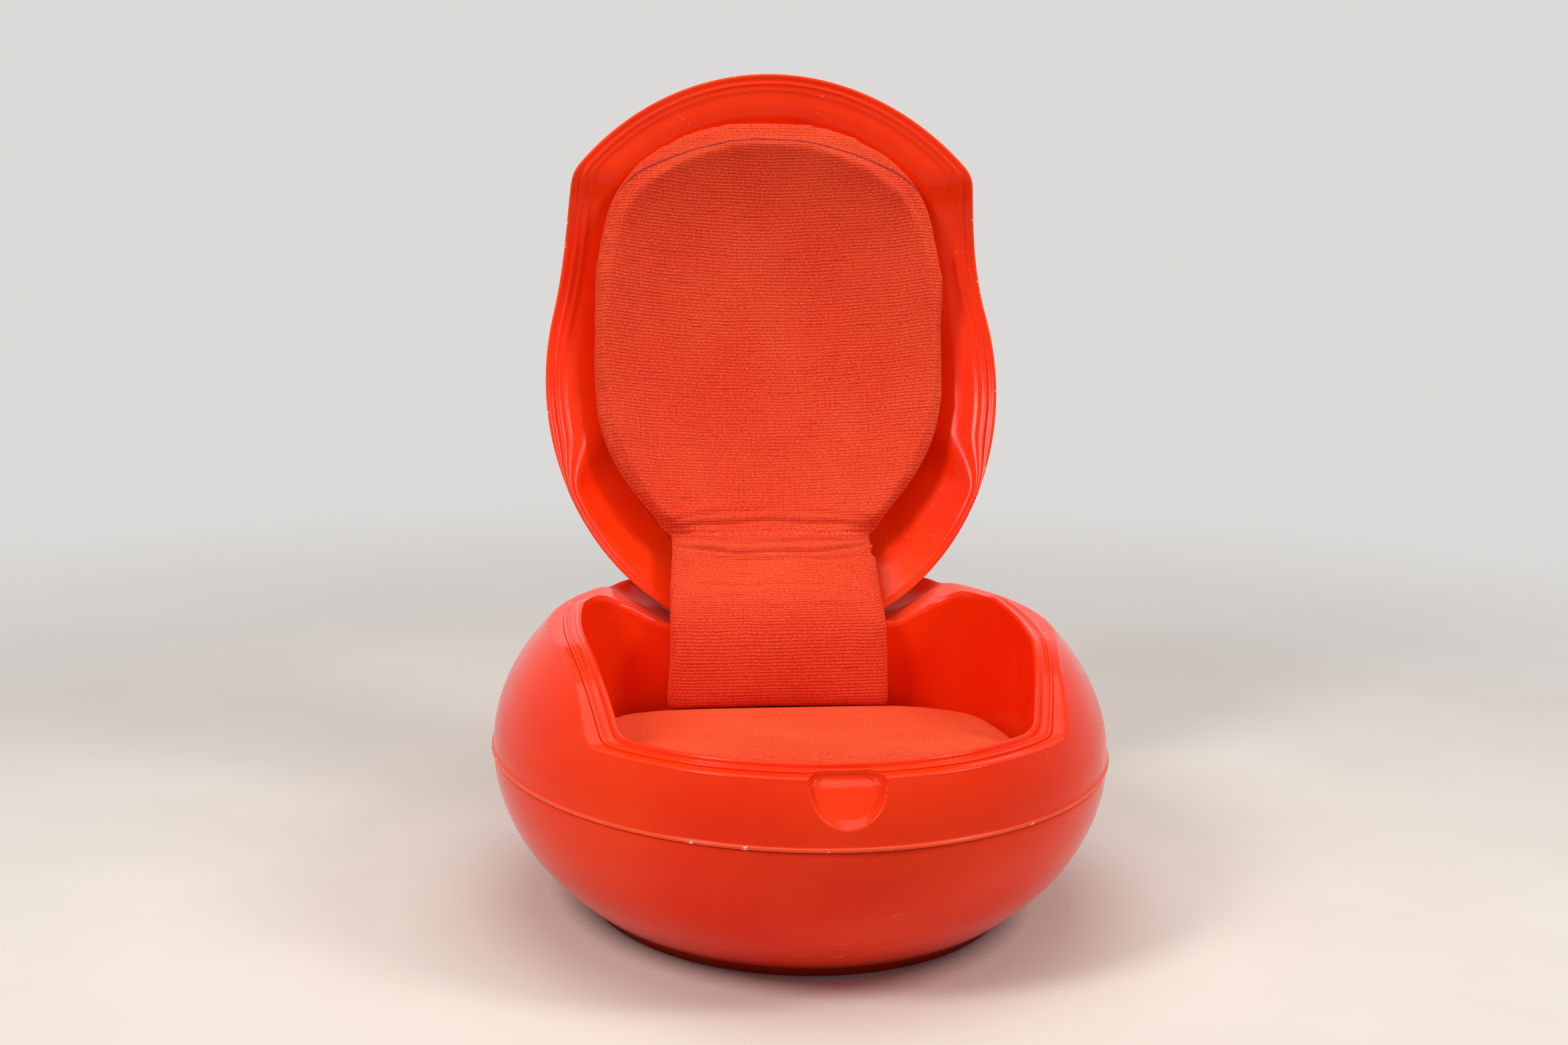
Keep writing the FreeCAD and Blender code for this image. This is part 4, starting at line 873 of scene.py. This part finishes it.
def make_lacquer():
    """Glossy polyurethane lacquer on moulded plastic: faintly rippled, scuffed, chipped along its edges."""
    material, tree, skin = new_material("orange_red_lacquer")
    place = node(tree, "ShaderNodeTexCoord", out="Object")
    # slow drift of the pigment over a hand's breadth
    broad = node(tree, "ShaderNodeTexNoise", {"Vector": place, "Scale": 5.0, "Detail": 3.0}, "Fac")
    drift = node(tree, "ShaderNodeMapRange", {"Value": broad, "From Min": 0.35, "From Max": 0.7})
    # edges paler: partly polished by handling, partly a painted highlight on the rounded bead and lid edge;
    # white chips down to the filler
    worn_and_highlit = node(tree, "ShaderNodeAttribute", out="Fac", attribute_name="edge_wear_and_highlight")
    paler_edges_wear_and_highlight = node(tree, "ShaderNodeMath", {0: worn_and_highlit, 1: 0.35}, operation="MULTIPLY")
    spots = node(tree, "ShaderNodeTexNoise",
                 {"Vector": place, "Scale": 60.0, "Detail": 3.0, "Roughness": 0.6}, "Fac")
    bare = node(tree, "ShaderNodeMapRange", {"Value": spots, "From Min": 0.655, "From Max": 0.685})
    chipped = node(tree, "ShaderNodeMath", {0: worn_and_highlit, 1: bare}, operation="MULTIPLY")
    # darker towards the foot: painted shade where the egg's underside meets the floor
    height = node(tree, "ShaderNodeSeparateXYZ", {"Vector": place}, "Z")
    low = node(tree, "ShaderNodeMapRange", {"Value": height, "From Min": 0.030, "From Max": 0.004})
    painted_foot_shade = node(tree, "ShaderNodeMath", {0: low, 1: 0.75}, operation="MULTIPLY")
    # hair scratches: thin lines where a stretched noise crosses its middle, in a few places only
    slanted = node(tree, "ShaderNodeMapping",
                   {"Vector": place, "Rotation": (0.5, 0.9, 0.4), "Scale": (2.0, 30.0, 30.0)})
    lines = node(tree, "ShaderNodeTexNoise", {"Vector": slanted, "Scale": 1.5, "Detail": 2.0}, "Fac")
    off = node(tree, "ShaderNodeMath", {0: lines, 1: 0.5}, operation="SUBTRACT")
    gap = node(tree, "ShaderNodeMath", {0: off}, operation="ABSOLUTE")
    close = node(tree, "ShaderNodeMapRange", {"Value": gap, "From Min": 0.0022, "From Max": 0.0})
    here = node(tree, "ShaderNodeTexNoise", {"Vector": place, "Scale": 9.0}, "Fac")
    where = node(tree, "ShaderNodeMapRange", {"Value": here, "From Min": 0.60, "From Max": 0.68})
    scratch = node(tree, "ShaderNodeMath", {0: close, 1: where}, operation="MULTIPLY")
    faint = node(tree, "ShaderNodeMath", {0: scratch, 1: 0.5}, operation="MULTIPLY")
    # the dark red coat on the lowest few centimetres is painted shade near the floor
    paint(tree, skin, colour("#EE2C04"), [(drift, "#F43A0A"), (paler_edges_wear_and_highlight, "#F6764A"), (chipped, "#EADCD2"),
                                          (painted_foot_shade, "#5A1008"), (faint, "#F5A184")])
    # the gloss is broken by cloudy rubbing marks
    scuffs = node(tree, "ShaderNodeTexNoise",
                  {"Vector": place, "Scale": 38.0, "Detail": 6.0, "Roughness": 0.75}, "Fac")
    dull = node(tree, "ShaderNodeMapRange", {"Value": scuffs, "From Min": 0.3, "From Max": 0.75,
                                             "To Min": 0.10, "To Max": 0.26})
    tree.links.new(dull, skin.inputs["Roughness"])
    # ripple of sprayed lacquer, six millimetres across, so that reflections waver slightly
    peel = node(tree, "ShaderNodeTexNoise", {"Vector": place, "Scale": 160.0, "Detail": 1.0}, "Fac")
    roughen(tree, skin, peel, 0.035, 0.0008)
    skin.inputs["IOR"].default_value = 1.5
    skin.inputs["Specular IOR Level"].default_value = 0.15
    return material


def make_knit():
    """Ribbed wool-blend knit in two shades of orange-red, its courses running across the chair."""
    material, tree, skin = new_material("ribbed_wool_knit")
    sheet = node(tree, "ShaderNodeUVMap", out="UV", uv_map="weave")
    place = node(tree, "ShaderNodeTexCoord", out="Object")
    # courses 4.5 mm apart, which wander by up to 6 mm
    course, sway = 0.0045, 0.006
    wander = node(tree, "ShaderNodeTexNoise", {"Vector": place, "Scale": 14.0, "Detail": 2.0}, "Fac")
    along = node(tree, "ShaderNodeSeparateXYZ", {"Vector": sheet}, "Y")
    shifted = node(tree, "ShaderNodeMath", {0: wander, 1: sway, 2: along}, operation="MULTIPLY_ADD")
    phase = node(tree, "ShaderNodeMath", {0: shifted, 1: 2 * math.pi / course}, operation="MULTIPLY")
    rows = node(tree, "ShaderNodeMath", {0: phase}, operation="SINE")
    valley = node(tree, "ShaderNodeMapRange", {"Value": rows, "From Min": 0.2, "From Max": -1.0})
    # loops of yarn, about 3 mm by 2 mm; their lighter flecks are a painted highlight on the raised loop tops
    loops = node(tree, "ShaderNodeMapping", {"Vector": sheet, "Scale": (300.0, 480.0, 1.0)})
    flecks = node(tree, "ShaderNodeTexNoise",
                  {"Vector": loops, "Scale": 1.0, "Detail": 3.0, "Roughness": 0.6}, "Fac")
    light = node(tree, "ShaderNodeMapRange", {"Value": flecks, "From Min": 0.48, "From Max": 0.30})
    raised = node(tree, "ShaderNodeMath", {0: light, 1: 0.55}, operation="MULTIPLY")
    # painted shade in the valleys between courses
    painted_valley_shade = node(tree, "ShaderNodeMath", {0: valley, 1: 0.12}, operation="MULTIPLY")
    dark = node(tree, "ShaderNodeMapRange", {"Value": flecks, "From Min": 0.50, "From Max": 0.68})
    broken = node(tree, "ShaderNodeMath", {0: valley, 1: 0.6, 2: 0.4}, operation="MULTIPLY_ADD")
    sunk = node(tree, "ShaderNodeMath", {0: dark, 1: broken}, operation="MULTIPLY")
    shadow = node(tree, "ShaderNodeMath", {0: sunk, 1: 0.8}, operation="MULTIPLY")
    # dark dashes a few centimetres long, laid in the valleys: painted shade where some courses run tighter
    # and their grooves deeper
    dashes = node(tree, "ShaderNodeMapping", {"Vector": sheet, "Scale": (28.0, 210.0, 1.0)})
    streaks = node(tree, "ShaderNodeTexNoise",
                   {"Vector": dashes, "Scale": 1.0, "Detail": 3.0, "Roughness": 0.55}, "Fac")
    tight = node(tree, "ShaderNodeMapRange", {"Value": streaks, "From Min": 0.54, "From Max": 0.70})
    lined = node(tree, "ShaderNodeMath", {0: tight, 1: valley}, operation="MULTIPLY")
    painted_dash_shade = node(tree, "ShaderNodeMath", {0: lined, 1: 0.75}, operation="MULTIPLY")
    # two shades of dye in patches a hand wide
    patches = node(tree, "ShaderNodeTexNoise", {"Vector": place, "Scale": 8.0, "Detail": 3.0}, "Fac")
    shade = node(tree, "ShaderNodeMapRange", {"Value": patches, "From Min": 0.3, "From Max": 0.7})
    # dyed in patches; over that, painted highlight on the loops and painted shade in the valleys, the dark
    # flecks and the dark dashes
    paint(tree, skin, colour("#E23C20"), [(shade, "#E84A2A"), (raised, "#F47A50"), (painted_valley_shade, "#B0200F"),
                                          (shadow, "#A41A0E"), (painted_dash_shade, "#A01A10")])
    skin.inputs["Roughness"].default_value = 0.92
    skin.inputs["Sheen Weight"].default_value = 0.3
    skin.inputs["Sheen Tint"].default_value = colour("#FF8A48")
    skin.inputs["Sheen Roughness"].default_value = 0.5
    skin.inputs["Specular IOR Level"].default_value = 0.2
    relief = node(tree, "ShaderNodeMath", {0: rows, 1: 0.28, 2: flecks}, operation="MULTIPLY_ADD")
    roughen(tree, skin, relief, 0.8, 0.0015)
    return material


def make_thread():
    """Bonded polyester sewing thread: dark red, twisted, slightly lustrous; on the seam cord the same dark
    red is painted shade.
    """
    material, tree, skin = new_material("dark_red_thread_and_seam_shade")
    place = node(tree, "ShaderNodeTexCoord", out="Object")
    # twist of the strands, about half a millimetre long
    twist = node(tree, "ShaderNodeTexNoise", {"Vector": place, "Scale": 1800.0, "Detail": 1.0}, "Fac")
    paint(tree, skin, colour("#74100A"), [(twist, "#A21E12")])
    roughen(tree, skin, twist, 0.4, 0.0002)
    skin.inputs["Roughness"].default_value = 0.7
    return material


def make_metal(name, light, dark, rough, grain):
    """Plated or plain steel: fine rolled grain and cloudy dulling."""
    material, tree, skin = new_material(name)
    place = node(tree, "ShaderNodeTexCoord", out="Object")
    drawn = node(tree, "ShaderNodeMapping", {"Vector": place, "Scale": (grain, grain * 12, grain * 12)})
    lines = node(tree, "ShaderNodeTexNoise", {"Vector": drawn, "Scale": 1.0, "Detail": 3.0}, "Fac")
    cloud = node(tree, "ShaderNodeTexNoise", {"Vector": place, "Scale": 60.0, "Detail": 4.0}, "Fac")
    paint(tree, skin, colour(dark), [(cloud, light)])
    duller = node(tree, "ShaderNodeMapRange", {"Value": cloud, "To Min": rough, "To Max": rough + 0.2})
    tree.links.new(duller, skin.inputs["Roughness"])
    roughen(tree, skin, lines, 0.15, 0.0002)
    skin.inputs["Metallic"].default_value = 1.0
    return material


def make_rubber():
    """Black nitrile rubber: matt, with a fine moulded grain and a dusty bloom."""
    material, tree, skin = new_material("black_rubber")
    place = node(tree, "ShaderNodeTexCoord", out="Object")
    grain = node(tree, "ShaderNodeTexNoise", {"Vector": place, "Scale": 900.0, "Detail": 2.0}, "Fac")
    dust = node(tree, "ShaderNodeTexNoise", {"Vector": place, "Scale": 120.0, "Detail": 3.0}, "Fac")
    paint(tree, skin, colour("#161616"), [(dust, "#2A2927")])
    roughen(tree, skin, grain, 0.3, 0.0002)
    skin.inputs["Roughness"].default_value = 0.75
    return material


def lay_weave(piece, lengths):
    """UV map in metres: across the chair, and along the cloth's courses."""
    points = read_points(piece)
    layer = piece.data.uv_layers.new(name="weave")
    corners = np.empty(len(piece.data.loops), int)
    piece.data.loops.foreach_get("vertex_index", corners)
    flat = np.stack([points[corners, 0], lengths[corners]], 1)
    layer.data.foreach_set("uv", flat.ravel())


def pad_lengths(piece):
    """Length along the back pad's courses at each of its points, in metres."""
    points = read_points(piece) / MM
    face = lid_face_line()
    y, z = points[:, 1] - HINGE_Y, points[:, 2] - HINGE_Z
    closed_y = HINGE_Y + y * math.cos(OPENING) - z * math.sin(OPENING)
    upper = np.interp(closed_y, *face)
    line = np.array(FACE_LINE, float)
    steps = np.concatenate([[0], np.cumsum(np.hypot(*np.diff(line, axis=0).T))])
    waist = np.interp(-PAD_SIDES[-1][0], *face)
    lower = waist + np.interp(-points[:, 2], -line[:, 1], steps)
    share = smooth(380, 430, points[:, 2])
    return (upper * share + lower * (1 - share)) * MM


# ---------------------------------------------------------------- put together

def main():
    """Make every piece, dress it, hang it on the body that carries it, and hide the solids it stands in for.
    """
    lacquer, knit = make_lacquer(), make_knit()
    finishes = {"steel": make_metal("bent_steel_plate", "#9A9A9C", "#6E6F72", 0.35, 90.0),
                "zinc": make_metal("zinc_plated_steel", "#C2C3BE", "#9C9E9A", 0.28, 160.0),
                "rubber": make_rubber(), "lacquer": lacquer, "knit": knit}
    shells = [(make_lower_shell(), "base", ("lower_shell",)),
              (make_upper_shell(), "base", ("upper_shell",)),
              (make_tub(), "base", ("seat_tub",)), (make_lid(), "lid", ("lid_shell",)),
              (make_boss(-1), "lid", ()), (make_boss(1), "lid", ())]
    for piece, body, stands_for in shells:
        piece.data.materials.append(lacquer)
        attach(piece, body)
        if stands_for:
            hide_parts(*stands_for)
    pad, cushion = make_back_pad(), make_seat_cushion()
    lay_weave(pad, pad_lengths(pad))
    lay_weave(cushion, read_points(cushion)[:, 1] + 0.6)
    for piece in (pad, cushion):
        piece.data.materials.clear()
        piece.data.materials.append(knit)
    thread = make_thread()
    # the seam cord takes the thread's dark red as painted shade along the slit; the stitches take it as their
    # own colour
    seam, places, ups = make_seam_shadow_cord(pad)
    seam.data.materials.append(thread)
    for piece in (seam, make_stitches(places, ups, thread)):
        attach(piece, "lid")
    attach(cushion, "base")
    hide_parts("seat_cushion")
    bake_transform(pad)
    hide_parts("back_pad_upper", "back_pad_lower")
    for entry in frame["record"]["subparts"]:
        held = nodes[entry["node"]]
        if not held.hide_render:
            held.data.materials.clear()
            held.data.materials.append(finishes[entry["material_slot"]])


CAMERA_PLACE = (-0.33268, -2.5521, 0.94246)
CAMERA_YAW, CAMERA_PITCH, CAMERA_ROLL = 6.94, 10.48, 0.82
LENS, SENSOR = 49.0, 36.0


def make_camera():
    """Camera from the front left at eye height of someone seated, looking slightly down."""
    yaw, pitch, roll = (math.radians(angle) for angle in (CAMERA_YAW, CAMERA_PITCH, CAMERA_ROLL))
    ahead = Vector((math.sin(yaw) * math.cos(pitch), math.cos(yaw) * math.cos(pitch), -math.sin(pitch)))
    level = Vector((math.cos(yaw), -math.sin(yaw), 0))
    up = level.cross(ahead)
    right = level * math.cos(roll) + up * math.sin(roll)
    up = right.cross(ahead)
    camera = bpy.data.objects.new("camera", bpy.data.cameras.new("camera"))
    bpy.context.collection.objects.link(camera)
    turned = Matrix((right, up, -ahead)).transposed().to_4x4()
    camera.matrix_world = Matrix.Translation(CAMERA_PLACE) @ turned
    camera.data.lens = LENS
    camera.data.sensor_width = SENSOR
    bpy.context.scene.camera = camera


# name, place, point it faces, size in metres, watts
LAMPS = [("left window", (-1.9, -1.35, 2.5), (0, 0, 0.5), (0.7, 1.2), 52),
         ("right window", (2.1, -1.0, 2.4), (0, 0, 0.5), (0.7, 1.2), 38),
         ("ceiling", (0.0, 0.1, 3.0), (0, 0, 0), (2.2, 2.2), 44)]
LAMP_COLOUR, ROOM_LIGHT, BACKDROP = (1.0, 0.95, 0.89), (0.27, 0.272, 0.28, 1), "#DCDAD8"


def seen(tree):
    """One for a ray that shows the background: straight on, in a gloss or through glass; nought otherwise."""
    rays = node(tree, "ShaderNodeLightPath", out=None).outputs
    shown = node(tree, "ShaderNodeMath", {0: rays["Is Camera Ray"], 1: rays["Is Glossy Ray"]},
                 operation="MAXIMUM")
    return node(tree, "ShaderNodeMath", {0: shown, 1: rays["Is Transmission Ray"]}, operation="MAXIMUM")


def make_floor():
    """A pale floor that fades into the backdrop some way behind the chair."""
    bpy.ops.mesh.primitive_plane_add(size=60, location=(0, 0, 0))
    floor = bpy.context.object
    floor.name = "floor"
    material, tree, skin = new_material("pale_floor")
    place = node(tree, "ShaderNodeTexCoord", out="Object")
    mottle = node(tree, "ShaderNodeTexNoise", {"Vector": place, "Scale": 3.0, "Detail": 6.0}, "Fac")
    paint(tree, skin, colour("#D4CEC8"), [(mottle, "#E2DDD8")])
    skin.inputs["Roughness"].default_value = 0.9
    skin.inputs["Specular IOR Level"].default_value = 0.1
    away = node(tree, "ShaderNodeVectorMath", {0: place}, "Value", operation="LENGTH")
    far = node(tree, "ShaderNodeMapRange", {"Value": away, "From Min": 0.7, "From Max": 3.0},
               interpolation_type="SMOOTHSTEP")
    strength = node(tree, "ShaderNodeMapRange", {"Value": seen(tree), "To Min": 0.14, "To Max": 1.0})
    glow = node(tree, "ShaderNodeEmission", {"Color": colour(BACKDROP), "Strength": strength})
    both = node(tree, "ShaderNodeMixShader", {0: far, 1: skin.outputs[0], 2: glow})
    tree.links.new(both, tree.nodes["Material Output"].inputs["Surface"])
    floor.data.materials.append(material)


def make_studio():
    """The floor, a pale backdrop and soft light from above and in front."""
    make_floor()
    world = bpy.data.worlds.new("studio")
    bpy.context.scene.world = world
    world.use_nodes = True
    tree = world.node_tree
    sky = node(tree, "ShaderNodeMix", {0: seen(tree), 6: ROOM_LIGHT, 7: colour(BACKDROP)}, 2,
               data_type="RGBA")
    tree.links.new(sky, tree.nodes["Background"].inputs["Color"])
    for name, place, target, size, power in LAMPS:
        lamp = bpy.data.objects.new(name, bpy.data.lights.new(name, "AREA"))
        lamp.data.shape = "RECTANGLE"
        lamp.data.size, lamp.data.size_y = size
        lamp.data.energy = power
        lamp.data.color = LAMP_COLOUR
        lamp.location = place
        lamp.rotation_euler = (Vector(target) - Vector(place)).to_track_quat("-Z", "Y").to_euler()
        bpy.context.collection.objects.link(lamp)


main()
make_camera()
make_studio()
bpy.context.scene.view_settings.view_transform = "Standard"
